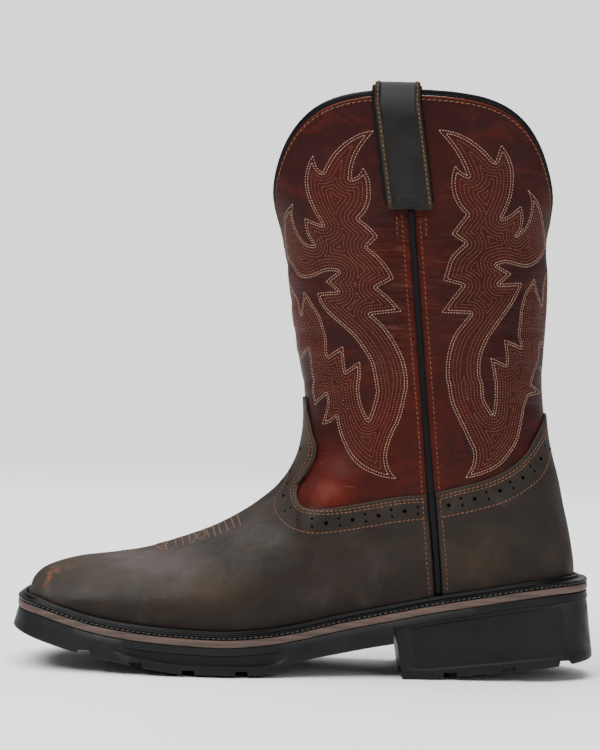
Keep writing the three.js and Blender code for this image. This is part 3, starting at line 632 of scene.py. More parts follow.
# How far the foxing hides behind the welt, and the rows of points on its inner face
TUCKED, INNER_ROWS = 1.5, 26


def build_foxing(name, front, count, row_count, material):
    edge_climb, edge_degrees, foot_degrees = foxing_half(front, count)

    def whole(turns):
        """Degrees from one side seam over the ridge to the other."""
        back_again = turns[::-1][:-1]
        return np.concatenate([-back_again, turns] if front else [back_again, 360 - turns])

    climb = np.concatenate([edge_climb[::-1][:-1], edge_climb])
    degree, foot = whole(edge_degrees), whole(foot_degrees)
    top = skin_points(climb, degree)
    low = skin_points(np.zeros(len(foot)), foot)
    length = np.linalg.norm(top - low, axis=1) * 1.1
    near = np.array([1.3, 0.8, 0.45, 0.2, 0.0])
    raised = np.array([1.0, 0.98, 0.9, 0.75, 0.35])
    share = np.linspace(0.0, 1.0, row_count)[None, :] * (1 - 1.8 / length)[:, None]
    share = np.concatenate([share, 1 - near[None, :] / length[:, None]], axis=1)
    out = np.concatenate([np.full(row_count, OVERLAY), OVERLAY * raised]) + GAP
    inner_share = np.tile(np.linspace(1, 0, INNER_ROWS), (len(foot), 1))
    share = np.concatenate([share, inner_share], axis=1)
    out = np.concatenate([out, np.full(INNER_ROWS, GAP * 0.4)])
    c = share * climb[:, None]
    d = mix(foot[:, None], degree[:, None], share)
    d = d + seam_bend(c, climb, foot, degree, front)
    sections = surface(c, d, np.broadcast_to(out, c.shape))
    sections[:, 0, 2] -= TUCKED
    sections[:, -1, 2] -= TUCKED
    piece = bar_solid(name, sections, material)
    attribute(piece, "edge", np.tile(np.concatenate([
        np.zeros(row_count), [0.2, 0.6, 1, 1, 1], np.zeros(INNER_ROWS)]), len(foot)))
    return piece


# Rings of the sole
def sole_stations(inset, ends=22, middle=90):
    turn = np.arange(ends) / ends * np.pi / 2
    heel = heel_end(inset) - HEEL_ROUND * (1 - np.cos(turn))
    middle_x = np.linspace(heel_end(inset) - HEEL_ROUND, toe_end(inset) + TOE_ROUND, middle + 1)
    turn = (1 - (np.arange(ends) + 1) / ends) * np.pi / 2
    toe = toe_end(inset) + TOE_ROUND * (1 - np.cos(turn))
    return np.concatenate([heel, middle_x, toe])


def ring(inset, height, stations=None):
    """Closed ring of points round a layer, lateral side first."""
    x = sole_stations(inset) if stations is None else stations
    lateral = np.column_stack([x, -outline_half(x, LATERAL, inset), height(x)])
    medial_x = x[1:-1]
    medial = np.column_stack([medial_x, outline_half(medial_x, MEDIAL, inset), height(medial_x)])
    return np.vstack([lateral, medial[::-1]])


def stack(name, rings, material, blunt=False):
    """Solid from rings one over another, closed across at top and bottom."""
    count = len(rings[0])
    points = np.vstack(rings)
    faces = quads(len(rings), count, False, True)
    half = (count + (1 if blunt else 2)) // 2
    for base in (0, (len(rings) - 1) * count):
        for i in range(half - 1):
            a, b = base + i, base + i + 1
            d = base + (count - i) % count
            c = base + (count - i - 1) % count
            corners = list(dict.fromkeys([a, b, c, d]))
            if len(corners) >= 3:
                faces.append(corners)
    return crisp(face_out(new_object(name, points, faces, material)))


def crisp(piece, degrees=32):
    """Keeps edges sharper than this angle unsmoothed."""
    piece.data.set_sharp_from_angle(angle=math.radians(degrees))
    return piece


def edge_height(x):
    return under_share(at_x(x)) * INSTEP_RISE + CROWN


def flat_height(x):
    return under_share(at_x(x)) * INSTEP_RISE


def recess_fade(x):
    at = at_x(x)
    return ease(at, WAIST_FRONT, WAIST_FRONT + 0.03) * (1 - ease(at, 0.78, 0.82))


def band_top(x):
    return np.minimum(edge_height(x) + BAND_HEIGHT, rand_low(x) - 0.8)


def flared_ring(inset, height):
    """Ring at its own inset along the recess, on the straight flare of the side at toe and waist."""
    wide, narrow, banded = ring(TREAD, height), ring(LAYERS, height), ring(inset, height)
    x = wide[:, 0]
    share = np.clip((height(x) - edge_height(x)) / (midsole_low(x) - edge_height(x)), 0, 1)
    plain = mix(wide, narrow, share[:, None])
    return mix(plain, banded, recess_fade(x)[:, None])


def midway(inset, share):
    return inset[0] * share, inset[1] * share


def cut_by(piece, cutters):
    """Takes the cutters away from the piece, and removes them."""
    for cutter in cutters:
        change = piece.modifiers.new("cut", "BOOLEAN")
        change.operation = "DIFFERENCE"
        change.solver = "EXACT"
        change.object = cutter
    bpy.context.view_layer.update()
    seen = piece.evaluated_get(bpy.context.evaluated_depsgraph_get())
    mesh = bpy.data.meshes.new_from_object(seen)
    piece.modifiers.clear()
    old = piece.data
    piece.data = mesh
    bpy.data.meshes.remove(old)
    for cutter in cutters:
        bpy.data.objects.remove(cutter, do_unlink=True)
    return crisp(piece)


GROOVE_MOUTH, GROOVE_BED = 1.22, 0.86


def box_cutter(centre, size, turn=0.0):
    """Box for a groove, wider at its mouth than at its bed."""
    halves = (-0.5, 0.5)
    corners = np.array([(sx, sy, sz) for sx in halves for sy in halves for sz in halves])
    corners = corners * np.asarray(size)
    corners[:, 0] *= np.where(corners[:, 2] < 0, GROOVE_MOUTH, GROOVE_BED)
    c, s = math.cos(turn), math.sin(turn)
    turned = np.column_stack([
        corners[:, 0] * c - corners[:, 1] * s, corners[:, 0] * s + corners[:, 1] * c, corners[:, 2]])
    faces = [(0, 1, 3, 2), (4, 6, 7, 5), (0, 4, 5, 1), (2, 3, 7, 6), (0, 2, 6, 4), (1, 5, 7, 3)]
    return new_object("cutter", turned + np.asarray(centre), faces, None, False)


def side_cutter(outline):
    """Prism across the whole width over an outline in side view."""
    outline = np.asarray(outline, float)
    count = len(outline)
    near = np.column_stack([outline[:, 0], np.full(count, -80.0), outline[:, 1]])
    far = near + [0, 160, 0]
    faces = [[i, (i + 1) % count, count + (i + 1) % count, count + i] for i in range(count)]
    faces += [list(range(count))[::-1], list(range(count, 2 * count))]
    return face_out(new_object("cutter", np.vstack([near, far]), faces, None, False))


GROOVE_WIDTH, GROOVE_DEPTH, GROOVE_PITCH, GROOVE_REACH = 7.0, 3.5, 27.6, 26.0
GROOVE_OUT, GROOVE_TURN = 20, -0.12
FIRST_GROOVE, FIRST_HEEL_GROOVE = 0.867, 0.253
HEEL_GROOVE_PITCH, HEEL_GROOVE_MIDDLE, HEEL_GROOVE_LIFT = 30.8, 37, 0.2
HEEL_GROOVE_SIZE = (7.4, 46, 5.2)
HEEL_BEHIND = x_at(-0.1)


def build_outsole(material):
    rings = [
        ring(further(TREAD, BEVEL + 6), flat_height),
        ring(further(TREAD, BEVEL), flat_height),
        ring(further(TREAD, BEVEL * 0.5), lambda x: mix(flat_height(x), edge_height(x), 0.38)),
        ring(further(TREAD, 0.5), lambda x: edge_height(x) - 0.35),
        ring(TREAD, lambda x: edge_height(x) + 0.2),
        flared_ring(midway(LAYERS, 0.28), lambda x: band_top(x) - 0.3),
        flared_ring(midway(LAYERS, 0.42), band_top),
        flared_ring(further(LAYERS, RECESS * 0.9), lambda x: band_top(x) + 0.45),
        flared_ring(further(LAYERS, RECESS), lambda x: band_top(x) + 0.8),
        flared_ring(further(LAYERS, RECESS), lambda x: rand_low(x) - 0.5),
        flared_ring(further(LAYERS, RECESS * 0.4), lambda x: rand_low(x) - 0.15),
        flared_ring(further(LAYERS, 0.1), rand_low),
        flared_ring(LAYERS, lambda x: rand_low(x) + 0.35),
        ring(LAYERS, lambda x: midsole_low(x) - GAP - 0.3),
        ring(further(LAYERS, 0.3), lambda x: midsole_low(x) - GAP),
    ]
    piece = stack("outsole_rubber", rings, material)
    breast = x_at(BREAST_TOP) - GAP
    seat = [(x_at(at), float(rand_low(x_at(at)))) for at in np.linspace(BREAST_TOP, 0, 16)]
    outline = [(HEEL_BEHIND, -20), (breast, -20), (breast, seat[0][1])] + seat[1:]
    cutters = [side_cutter(outline + [(HEEL_BEHIND, seat[-1][1])])]
    size = (GROOVE_WIDTH, GROOVE_REACH + GROOVE_OUT, GROOVE_DEPTH * 2)
    for i in range(4):
        x = x_at(FIRST_GROOVE) + i * GROOVE_PITCH
        for side in (LATERAL, MEDIAL):
            inner = float(side_width(x, side)) - GROOVE_REACH
            centre = (x, side * (inner + size[1] / 2), float(flat_height(x)))
            cutters.append(box_cutter(centre, size, side * GROOVE_TURN))
    return cut_by(piece, cutters)


def heel_low(x):
    start = x_at(BREAST_LOW) + HEEL_FLAT
    return np.maximum(0, (x - start) / (SOLE_LENGTH / 2 - start)) * HEEL_PITCH


def heel_ring(inset, height, front):
    turn = np.arange(26) / 26 * np.pi / 2
    rounded = heel_end(inset) - HEEL_ROUND * (1 - np.cos(turn))
    x = np.concatenate([rounded, np.linspace(heel_end(inset) - HEEL_ROUND, front, 22)])
    lateral = np.column_stack([x, -outline_half(x, LATERAL, inset), height(x)])
    medial = np.column_stack([x[1:], outline_half(x[1:], MEDIAL, inset), height(x[1:])])
    return np.vstack([lateral, medial[::-1]])


def build_heel(material):
    def breast(share):
        return x_at(mix(BREAST_LOW, BREAST_TOP, share))

    def top(x):
        return rand_low(x) - GAP

    def panel_ring(share, deep, height, front):
        """Ring up the heel's side, sunk by the recess except at the back and by the breast."""
        inset = midway(LAYERS, share)
        plain = heel_ring(inset, height, front)
        sunk = heel_ring(further(inset, RECESS * deep), height, front)
        x = plain[:, 0]
        fade = ease(x, front + 3, front + 7) * (1 - ease(x, SOLE_LENGTH / 2 - 20, SOLE_LENGTH / 2 - 9))
        plain[:, 1] = mix(plain[:, 1], sunk[:, 1], fade)
        return plain

    rings = [
        heel_ring(further(TREAD, 2), heel_low, breast(0)),
        heel_ring(further(TREAD, 0.6), lambda x: heel_low(x) + 0.25, breast(0)),
        heel_ring(TREAD, lambda x: heel_low(x) + 0.9, breast(0)),
        panel_ring(0.10, 0.0, lambda x: heel_low(x) + 4.9, breast(0.14)),
        panel_ring(0.13, 0.15, lambda x: heel_low(x) + 5.2, breast(0.15)),
        panel_ring(0.16, 1.0, lambda x: heel_low(x) + 5.9, breast(0.18)),
        panel_ring(0.20, 1.0, lambda x: heel_low(x) + 7.0, breast(0.2)),
        panel_ring(0.90, 1.0, lambda x: top(x) - 2.2, breast(0.9)),
        panel_ring(0.97, 0.1, lambda x: top(x) - 1.3, breast(0.97)),
        panel_ring(1.0, 0.0, top, breast(1)),
    ]
    piece = stack("heel_rubber", rings, material, blunt=True)
    cutters = []
    for i in range(3):
        x = x_at(FIRST_HEEL_GROOVE) + i * HEEL_GROOVE_PITCH
        for side in (LATERAL, MEDIAL):
            centre = (x, side * HEEL_GROOVE_MIDDLE, float(heel_low(x)) + HEEL_GROOVE_LIFT)
            cutters.append(box_cutter(centre, HEEL_GROOVE_SIZE))
    return cut_by(piece, cutters)


def build_midsole(material):
    rings = [
        ring(further(LAYERS, 0.5), midsole_low),
        ring(further(LAYERS, 0.0), lambda x: midsole_low(x) + 0.35),
        ring(further(LAYERS, -0.25), lambda x: midsole_low(x) + MIDSOLE * 0.3),
        ring(further(LAYERS, -0.25), lambda x: midsole_low(x) + MIDSOLE * 0.7),
        ring(further(LAYERS, 0.0), lambda x: midsole_top(x) - 0.35),
        ring(further(LAYERS, 0.5), midsole_top),
    ]
    return stack("midsole_edge", rings, material)


# The welt's top and bead in the scene, lower than in the frame
WELT_DROP, BEAD_LOWER = 0.9, 0.85


def build_welt(material):
    def top(x):
        return welt_low(x) + WELT - WELT_DROP

    def bead(out):
        return further(FOOT, -(GAP + OVERLAY + GAP) - out)

    bead_height = BEAD_HEIGHT * BEAD_LOWER
    rows = [
        (further(LAYERS, 0.5), lambda x: welt_low(x) + 0.05),
        (further(LAYERS, 0.0), lambda x: welt_low(x) + 0.45),
        (further(LAYERS, -0.15), lambda x: welt_low(x) + WELT * 0.5),
        (further(LAYERS, 0.0), lambda x: top(x) - 0.55),
        (further(LAYERS, 0.5), lambda x: top(x) - 0.1),
        (further(LAYERS, 1.1), top),
        (bead(BEAD_WIDTH + 0.5), lambda x: top(x) - 0.1),
        (bead(BEAD_WIDTH + 0.1), lambda x: top(x) + 0.1),
        (bead(BEAD_WIDTH * 0.95), lambda x: top(x) + bead_height * 0.5),
        (bead(BEAD_WIDTH * 0.75), lambda x: top(x) + bead_height * 0.85),
        (bead(BEAD_WIDTH * 0.5), lambda x: top(x) + bead_height),
        (bead(BEAD_WIDTH * 0.25), lambda x: top(x) + bead_height * 0.85),
        (bead(0.1), lambda x: top(x) + bead_height * 0.45),
        (bead(0), lambda x: top(x) - 0.1),
        (further(FOOT, WALL), top),
        (further(FOOT, WALL), welt_low),
    ]
    rings = np.stack([ring(inset, height) for inset, height in rows], axis=1)
    return loop_solid("storm_welt", rings, material)


def build_insole(material):
    rings = [
        ring(further(FOOT, WALL + GAP * 3), welt_low),
        ring(further(FOOT, WALL + GAP * 3), lambda x: welt_low(x) + WELT),
        ring(further(FOOT, WALL + GAP * 4), lambda x: welt_low(x) + 4.4),
        ring(further(FOOT, WALL + GAP * 8), lambda x: welt_low(x) + 5.0),
    ]
    return stack("insole_board", rings, material)


# Collar roll, cords and straps
def collar_frame(degrees):
    point, normal = skin_frame(np.full(degrees.shape, 2.0), degrees)
    turn = 1.5
    ahead = skin_points(np.full(degrees.shape, 2.0), degrees + turn)
    behind = skin_points(np.full(degrees.shape, 2.0), degrees - turn)
    on = np.cross(normal, ahead - behind)
    on = unit(on)
    on = on * np.where(on[:, 2:] < 0, -1, 1)
    return point, normal, on


COLLAR_TURNS = 420


def build_binding(material):
    count = COLLAR_TURNS
    degrees = np.arange(count) * 360 / count
    point, normal, on = collar_frame(degrees)
    half = WALL / 2
    rng = np.random.default_rng(5)
    wobble = np.convolve(np.tile(rng.normal(0, 1, count), 3), np.hanning(17) / 8, "same")
    wobble = wobble[count:2 * count]
    shape = [
        (0.80, -0.1), (0.92, 0.7), (0.90, 1.6), (0.66, 2.4), (0.25, 2.8), (-0.25, 2.8),
        (-0.66, 2.4), (-0.98, 1.6), (-1.05, 0.7), (-0.9, -0.1),
    ]
    corners = []
    for out, up in shape:
        lift = GAP * 2 + up * (1 + 0.05 * wobble)
        corners.append(point + normal * (out * half - half + 0.08 * wobble)[:, None] + on * lift[:, None])
    return loop_solid("collar_roll", np.stack(corners, axis=1), material)


CORD_CORNERS = 12


def build_cord(side, material, name):
    ups = np.linspace(0.010, 0.757, 200)
    x, z = seam_point(ups)
    climb, degrees = place_of(x, z)
    over_foxing = 1 - ease(ups, SEAM_CROSSING - 0.004, SEAM_CROSSING + 0.004)
    radius = PIPING_WIDTH / 2
    corners = []
    for k in range(CORD_CORNERS):
        angle = 2 * math.pi * k / CORD_CORNERS
        across, high = math.cos(angle) * radius, math.sin(angle) * radius * 0.82
        out = 0.95 + high + over_foxing * 0.5
        spread = place_of(x + across, z)[1]
        corners.append(surface(climb, signed_degrees(spread, side), np.maximum(out, 0.12)))
    rings = np.stack(corners, axis=1)
    tail = rings[:1] - [0, 0, TUCKED]
    return bar_solid(name, np.concatenate([tail, rings]), material)


STRAP_WIDTH, STRAP_DROP, STRAP_INSIDE, STRAP_LEAN = 25.5, 60.0, 48.0, 9.2
STRAP_X = float(x_at(0.371))
STRAP_TOP = COLLAR_PEAK + GAP + 3.0
STRAP_COLUMNS = 25


def side_frame(x, z, side):
    step = 1.5
    dx = (half_width(x + step, z, side) - half_width(x - step, z, side)) / (2 * step)
    dz = (half_width(x, z + step, side) - half_width(x, z - step, side)) / (2 * step)
    normal = np.stack([-dx, np.full(np.shape(dx), float(side)), -dz], axis=-1)
    return np.stack([x, ridge_y(x, z) + side * half_width(x, z, side), z], axis=-1), unit(normal)


def strap_point(kind, value, across, thick, side):
    """Point of the strap: kind out, over or in; value is the drop, or the turn over the top."""
    across = np.asarray(across, float)
    lean = STRAP_LEAN / STRAP_DROP

    def flat(drop):
        return STRAP_X + lean * drop + across, np.broadcast_to(COLLAR_PEAK - drop, across.shape)

    if kind == "out":
        point, normal = side_frame(*flat(value), side)
        return point + normal * (GAP * 3 + thick)[..., None]
    if kind == "in":
        point, normal = side_frame(*flat(value), side)
        return point - normal * (WALL + GAP * 3 + thick)[..., None]
    x, z = flat(4.0)
    point, normal = side_frame(x, z, side)
    point = point - normal * WALL / 2
    level = unit(normal * [1, 1, 0])
    angle = value * math.pi
    reach = (WALL / 2 + GAP * 3 + thick) * math.copysign(abs(math.cos(angle)) ** 0.45, math.cos(angle))
    high = (STRAP_TOP - z + 0.9 + thick) * abs(math.sin(angle)) ** 0.45
    return point + level * reach[..., None] + np.stack([0 * high, 0 * high, high], axis=-1)


def strap_path():
    path = [("out", drop) for drop in np.linspace(STRAP_DROP, 4, 60)]
    path += [("over", turn) for turn in np.linspace(0.03, 0.97, 31)]
    path += [("in", drop) for drop in np.linspace(4, STRAP_INSIDE, 30)]
    return path


def build_strap(side, name, material, left, right, base, profile_of, end_of=None):
    """Band from left to right of the strap's middle, base above its seat, profile_of its thickness."""
    columns = np.linspace(left, right, STRAP_COLUMNS)
    shares = (columns - left) / (right - left)
    thick = profile_of(columns)
    sections = []
    path = strap_path()
    for kind, value in path:
        if kind == "out" and end_of is not None:
            value = np.minimum(value, end_of(shares))
        low = strap_point(kind, value, columns, np.full(STRAP_COLUMNS, base), side)
        high = strap_point(kind, value, columns, base + thick, side)
        sections.append(np.vstack([low, high[::-1]]))
    piece = bar_solid(name, np.stack(sections), material)
    across = np.concatenate([columns, columns[::-1]])
    attribute(piece, "across", np.tile(across, len(path)))
    return piece


# Materials
class Paint:
    """One procedural material and the nodes that feed its shader."""

    def __init__(self, name):
        self.material = bpy.data.materials.new(name)
        self.material.use_nodes = True
        self.nodes = self.material.node_tree.nodes
        self.links = self.material.node_tree.links
        self.shader = self.nodes["Principled BSDF"]
        self.place = self.nodes.new("ShaderNodeTexCoord").outputs["Object"]

    def feed(self, socket, value):
        if hasattr(value, "is_output"):
            self.links.new(value, socket)
        elif isinstance(value, tuple) and len(value) == 3 and socket.type == "RGBA":
            socket.default_value = (*value, 1)
        else:
            socket.default_value = value

    def set(self, name, value):
        self.feed(self.shader.inputs[name], value)
        return self

    def stretched(self, scale, turn=(0, 0, 0)):
        node = self.nodes.new("ShaderNodeMapping")
        self.links.new(self.place, node.inputs["Vector"])
        node.inputs["Scale"].default_value = scale
        node.inputs["Rotation"].default_value = turn
        return node.outputs["Vector"]

    def height(self):
        node = self.nodes.new("ShaderNodeSeparateXYZ")
        self.links.new(self.place, node.inputs[0])
        return node.outputs["Z"]

    def noise(self, scale, detail=4.0, rough=0.55, bend=0.0, place=None):
        node = self.nodes.new("ShaderNodeTexNoise")
        self.links.new(place or self.place, node.inputs["Vector"])
        node.inputs["Scale"].default_value = scale
        node.inputs["Detail"].default_value = detail
        node.inputs["Roughness"].default_value = rough
        node.inputs["Distortion"].default_value = bend
        return node.outputs["Fac"]

    def cells(self, scale, feature="F1", place=None):
        node = self.nodes.new("ShaderNodeTexVoronoi")
        node.feature = feature
        self.links.new(place or self.place, node.inputs["Vector"])
        node.inputs["Scale"].default_value = scale
        return node.outputs["Distance"]

    def ranged(self, value, low, high, a=0.0, b=1.0):
        node = self.nodes.new("ShaderNodeMapRange")
        node.interpolation_type = "SMOOTHSTEP"
        for socket, number in zip(node.inputs[1:5], (low, high, a, b)):
            socket.default_value = number
        self.links.new(value, node.inputs[0])
        return node.outputs[0]

    def math(self, operation, a, b):
        node = self.nodes.new("ShaderNodeMath")
        node.operation = operation
        self.feed(node.inputs[0], a)
        self.feed(node.inputs[1], b)
        return node.outputs[0]

    def blend(self, share, a, b, way="MIX"):
        node = self.nodes.new("ShaderNodeMix")
        node.data_type = "RGBA"
        node.blend_type = way
        self.feed(node.inputs[0], share)
        self.feed(node.inputs[6], a)
        self.feed(node.inputs[7], b)
        return node.outputs[2]

    def field(self, name):
        node = self.nodes.new("ShaderNodeAttribute")
        node.attribute_name = name
        return node.outputs["Fac"]

    def bump(self, height, strength, distance, under=None):
        node = self.nodes.new("ShaderNodeBump")
        node.inputs["Strength"].default_value = strength
        node.inputs["Distance"].default_value = distance
        self.links.new(height, node.inputs["Height"])
        if under:
            self.links.new(under, node.inputs["Normal"])
        return node.outputs["Normal"]


def red_leather():
    p = Paint("leather_red")
    cloud = p.noise(24, 6, 0.66, 0.5)
    streak = p.noise(44, 6, 0.68, 0.7, p.stretched((1.0, 1.0, 1.7)))
    tone_and_painted_light = p.field("tone_and_painted_light")
    # Colour lifted by the tone field: the leather's own tone, and painted highlights low on the shaft's
    # front.
    lifted = p.math("ADD", tone_and_painted_light, p.math("MULTIPLY", p.math("SUBTRACT", cloud, 0.5), 1.25))
    color = p.blend(p.ranged(lifted, -0.15, 0.55), SHAFT_DARK, SHAFT_MIDDLE)
    color = p.blend(p.ranged(lifted, 0.45, 1.15), color, SHAFT_BRIGHT_AND_HIGHLIGHT)
    color = p.blend(p.ranged(streak, 0.48, 0.68, 0, 0.5), color, SHAFT_STREAK)
    color = p.blend(p.ranged(streak, 0.32, 0.48, 0.5, 0), color, SHAFT_DARK)
    wrinkle = p.noise(130, 5, 0.62, 0.8, p.stretched((0.5, 0.5, 3.4)))
    wrinkle_mask = p.field("wrinkled")
    # Painted highlights on the wrinkles' crests.
    crest_highlights = p.math("MULTIPLY", p.ranged(wrinkle, 0.55, 0.70, 0, 0.55), wrinkle_mask)
    color = p.blend(crest_highlights, color, SHAFT_SCRATCH_AND_CREST_HIGHLIGHT)
    color = p.blend(p.ranged(p.field("motif"), 0.0, 1.0, 0, 0.45), color, SHAFT_MOTIF)
    scratch = p.noise(260, 3, 0.6, 0.3, p.stretched((0.35, 1.0, 2.2), (0, 0.7, 0)))
    scratched = p.math("MULTIPLY", p.ranged(scratch, 0.66, 0.72, 0, 0.5), p.ranged(tone_and_painted_light, 0, 0.6))
    color = p.blend(scratched, color, SHAFT_SCRATCH_AND_CREST_HIGHLIGHT)
    dark_spots = p.ranged(p.noise(190, 5, 0.7), 0.54, 0.66, 0, 0.5)
    color = p.blend(dark_spots, color, SHAFT_DARK)
    color = p.blend(p.field("cut_edge"), color, SHAFT_CUT)
    color = p.blend(p.field("inside"), color, LINING)
    p.set("Base Color", color)
    gloss = p.ranged(p.noise(70, 4, 0.6), 0.3, 0.75, 0.40, 0.58)
    p.set("Roughness", p.math("ADD", gloss, p.math("MULTIPLY", p.field("inside"), 0.4)))
    grain = p.cells(1500)
    fine = p.noise(2600, 3, 0.6)
    normal = p.bump(p.math("MULTIPLY", wrinkle, wrinkle_mask), 0.9, 0.0036)
    normal = p.bump(grain, 0.36, 0.00026, normal)
    normal = p.bump(fine, 0.4, 0.00015, normal)
    p.set("Normal", normal)
    p.set("Specular IOR Level", 0.11).set("Coat Weight", 0.02).set("Coat Roughness", 0.4)
    return p.material


def dark_leather():
    p = Paint("leather_dark")
    cloud = p.noise(26, 7, 0.7, 0.5)
    patch = p.noise(55, 7, 0.68, 0.4)
    tone_and_painted_light = p.field("tone_and_painted_light")
    # Colour lifted by the tone field: a painted highlight on the toe's top, painted shade on the vamp's side
    # and, with a darker burnished tone, low along the welt.
    lifted = p.math("ADD", tone_and_painted_light, p.math("MULTIPLY", p.math("SUBTRACT", cloud, 0.5), 2.0))
    color = p.blend(p.ranged(lifted, -0.35, 0.55), FOXING_DARK_AND_SHADE, FOXING_MIDDLE)
    color = p.blend(p.ranged(lifted, 0.35, 1.15), color, FOXING_PALE_AND_HIGHLIGHT)
    color = p.blend(p.ranged(patch, 0.52, 0.75, 0, 0.55), color, FOXING_OLIVE)
    bloom = p.ranged(p.noise(38, 6, 0.68, 0.4, p.stretched((1.3, 1.3, 0.9))), 0.50, 0.70, 0, 0.35)
    color = p.blend(bloom, color, FOXING_PALE_AND_HIGHLIGHT)
    color = p.blend(p.field("olive"), color, FOXING_OLIVE)
    scuff = p.math("MULTIPLY", p.field("scuff"), p.ranged(p.noise(420, 5, 0.7), 0.42, 0.54))
    color = p.blend(scuff, color, FOXING_SCUFF)
    specks = p.ranged(p.noise(420, 3, 0.65), 0.66, 0.78, 0, 0.35)
    color = p.blend(specks, color, FOXING_OLIVE)
    color = p.blend(p.field("edge"), color, FOXING_EDGE)
    p.set("Base Color", color)
    p.set("Roughness", p.ranged(p.noise(60, 5, 0.6), 0.3, 0.75, 0.48, 0.68))
    fine = p.noise(2200, 3, 0.65)
    pores = p.cells(1900)
    soft = p.noise(170, 5, 0.6)
    normal = p.bump(soft, 0.38, 0.0008)
    normal = p.bump(pores, 0.30, 0.00025, normal)
    normal = p.bump(fine, 0.42, 0.00015, normal)
    p.set("Normal", normal)
    p.set("Specular IOR Level", 0.2)
    return p.material


def rubber_like(name, color, other, low, high, grain=0.35, scale=1400, shine=0.2):
    p = Paint(name)
    cloud = p.noise(40, 5, 0.6)
    p.set("Base Color", p.blend(p.ranged(cloud, 0.35, 0.7), color, other))
    p.set("Roughness", p.ranged(p.noise(90, 4, 0.6), 0.3, 0.75, low, high))
    p.set("Specular IOR Level", shine)
    normal = p.bump(p.noise(90, 4, 0.6), 0.15, 0.0004)
    p.set("Normal", p.bump(p.noise(scale, 3, 0.6), grain, 0.00012, normal))
    return p.material


def layered_brown():
    """Edge of the brown strip: pressed layers that show as fine level lines."""
    p = Paint("midsole_brown")
    lines = p.noise(500, 4, 0.6, 0.2, p.stretched((0.04, 0.04, 1.0)))
    cloud = p.noise(45, 5, 0.6)
    color = p.blend(p.ranged(lines, 0.35, 0.65), BROWN_DARK, BROWN_PALE)
    color = p.blend(p.ranged(cloud, 0.5, 0.75, 0, 0.6), color, BROWN_DARK)
    p.set("Base Color", color)
    p.set("Roughness", p.ranged(cloud, 0.3, 0.7, 0.55, 0.75))
    p.set("Normal", p.bump(lines, 0.4, 0.0003))
    return p.material


def thread_paint(name, color, other):
    p = Paint(name)
    p.set("Base Color", p.blend(p.ranged(p.noise(300, 2), 0.35, 0.65), color, other))
    p.set("Roughness", 0.65)
    p.set("Normal", p.bump(p.noise(4200, 2), 0.4, 0.0001))
    return p.material


def strap_paint():
    p = Paint("leather_strap")
    across = p.math("ABSOLUTE", p.field("across"), 0.0)
    cloud = p.noise(60, 5, 0.6)
    centre = p.blend(p.ranged(cloud, 0.35, 0.7), STRAP_DARK, STRAP_MIDDLE)
    # Painted highlight: the strap pales towards its top.
    centre = p.blend(p.ranged(p.height(), 0.292, 0.312, 0, 0.85), centre, STRAP_TOP_HIGHLIGHT)
    fold = p.blend(p.ranged(p.noise(120, 4), 0.35, 0.65), STRAP_FOLD, STRAP_FOLD_PALE)
    shaded = p.blend(p.ranged(across, 8.2, 8.8), centre, SEAM_SHADE)
    p.set("Base Color", p.blend(p.ranged(across, 8.9, 9.4), shaded, fold))
    p.set("Roughness", p.ranged(cloud, 0.3, 0.7, 0.42, 0.58)).set("Specular IOR Level", 0.18)
    normal = p.bump(p.noise(160, 5, 0.6), 0.2, 0.0005)
    p.set("Normal", p.bump(p.noise(2200, 3, 0.65), 0.3, 0.00012, normal))
    return p.material


def painted_shade_black(name, color, other):
    """Near-black that gives no shine, painted as the shade inside a hole."""
    p = Paint(name)
    p.set("Base Color", p.blend(p.noise(300, 2), color, other))
    p.set("Roughness", 0.9).set("Specular IOR Level", 0.0)
    return p.material


def board_paint():
    p = Paint("leather_insole")
    cloud = p.noise(50, 5, 0.6)
    p.set("Base Color", p.blend(p.ranged(cloud, 0.35, 0.7), BOARD_DARK, BOARD_PALE))
    p.set("Roughness", 0.8)
    p.set("Normal", p.bump(p.noise(900, 3), 0.3, 0.0002))
    return p.material


def floor_paint():
    p = Paint("floor_pale")
    p.set("Base Color", p.blend(p.noise(3, 2), FLOOR_DARK, FLOOR_PALE))
    p.set("Roughness", 0.7)
    return p.material


# Colours in linear light
SEAM_SHADE = (0.00288, 0.00252, 0.00216)
SHAFT_DARK, SHAFT_MIDDLE = (0.0174, 0.0017, 0.0010), (0.0365, 0.0028, 0.0010)
# The brightest shaft colour is mostly reached in the painted highlights.
SHAFT_BRIGHT_AND_HIGHLIGHT, SHAFT_STREAK = (0.0851, 0.0080, 0.0016), (0.0594, 0.0052, 0.0013)
SHAFT_MOTIF, SHAFT_CUT = (0.0445, 0.0045, 0.0014), (0.131, 0.0248, 0.0124)
# Light colour for painted highlights on wrinkle crests, and for scratches.
SHAFT_SCRATCH_AND_CREST_HIGHLIGHT = (0.105, 0.028, 0.018)
# Pale colour painted as a highlight on the strap's top.
STRAP_TOP_HIGHLIGHT = (0.036, 0.034, 0.036)
LINING = (0.108, 0.072, 0.0432)
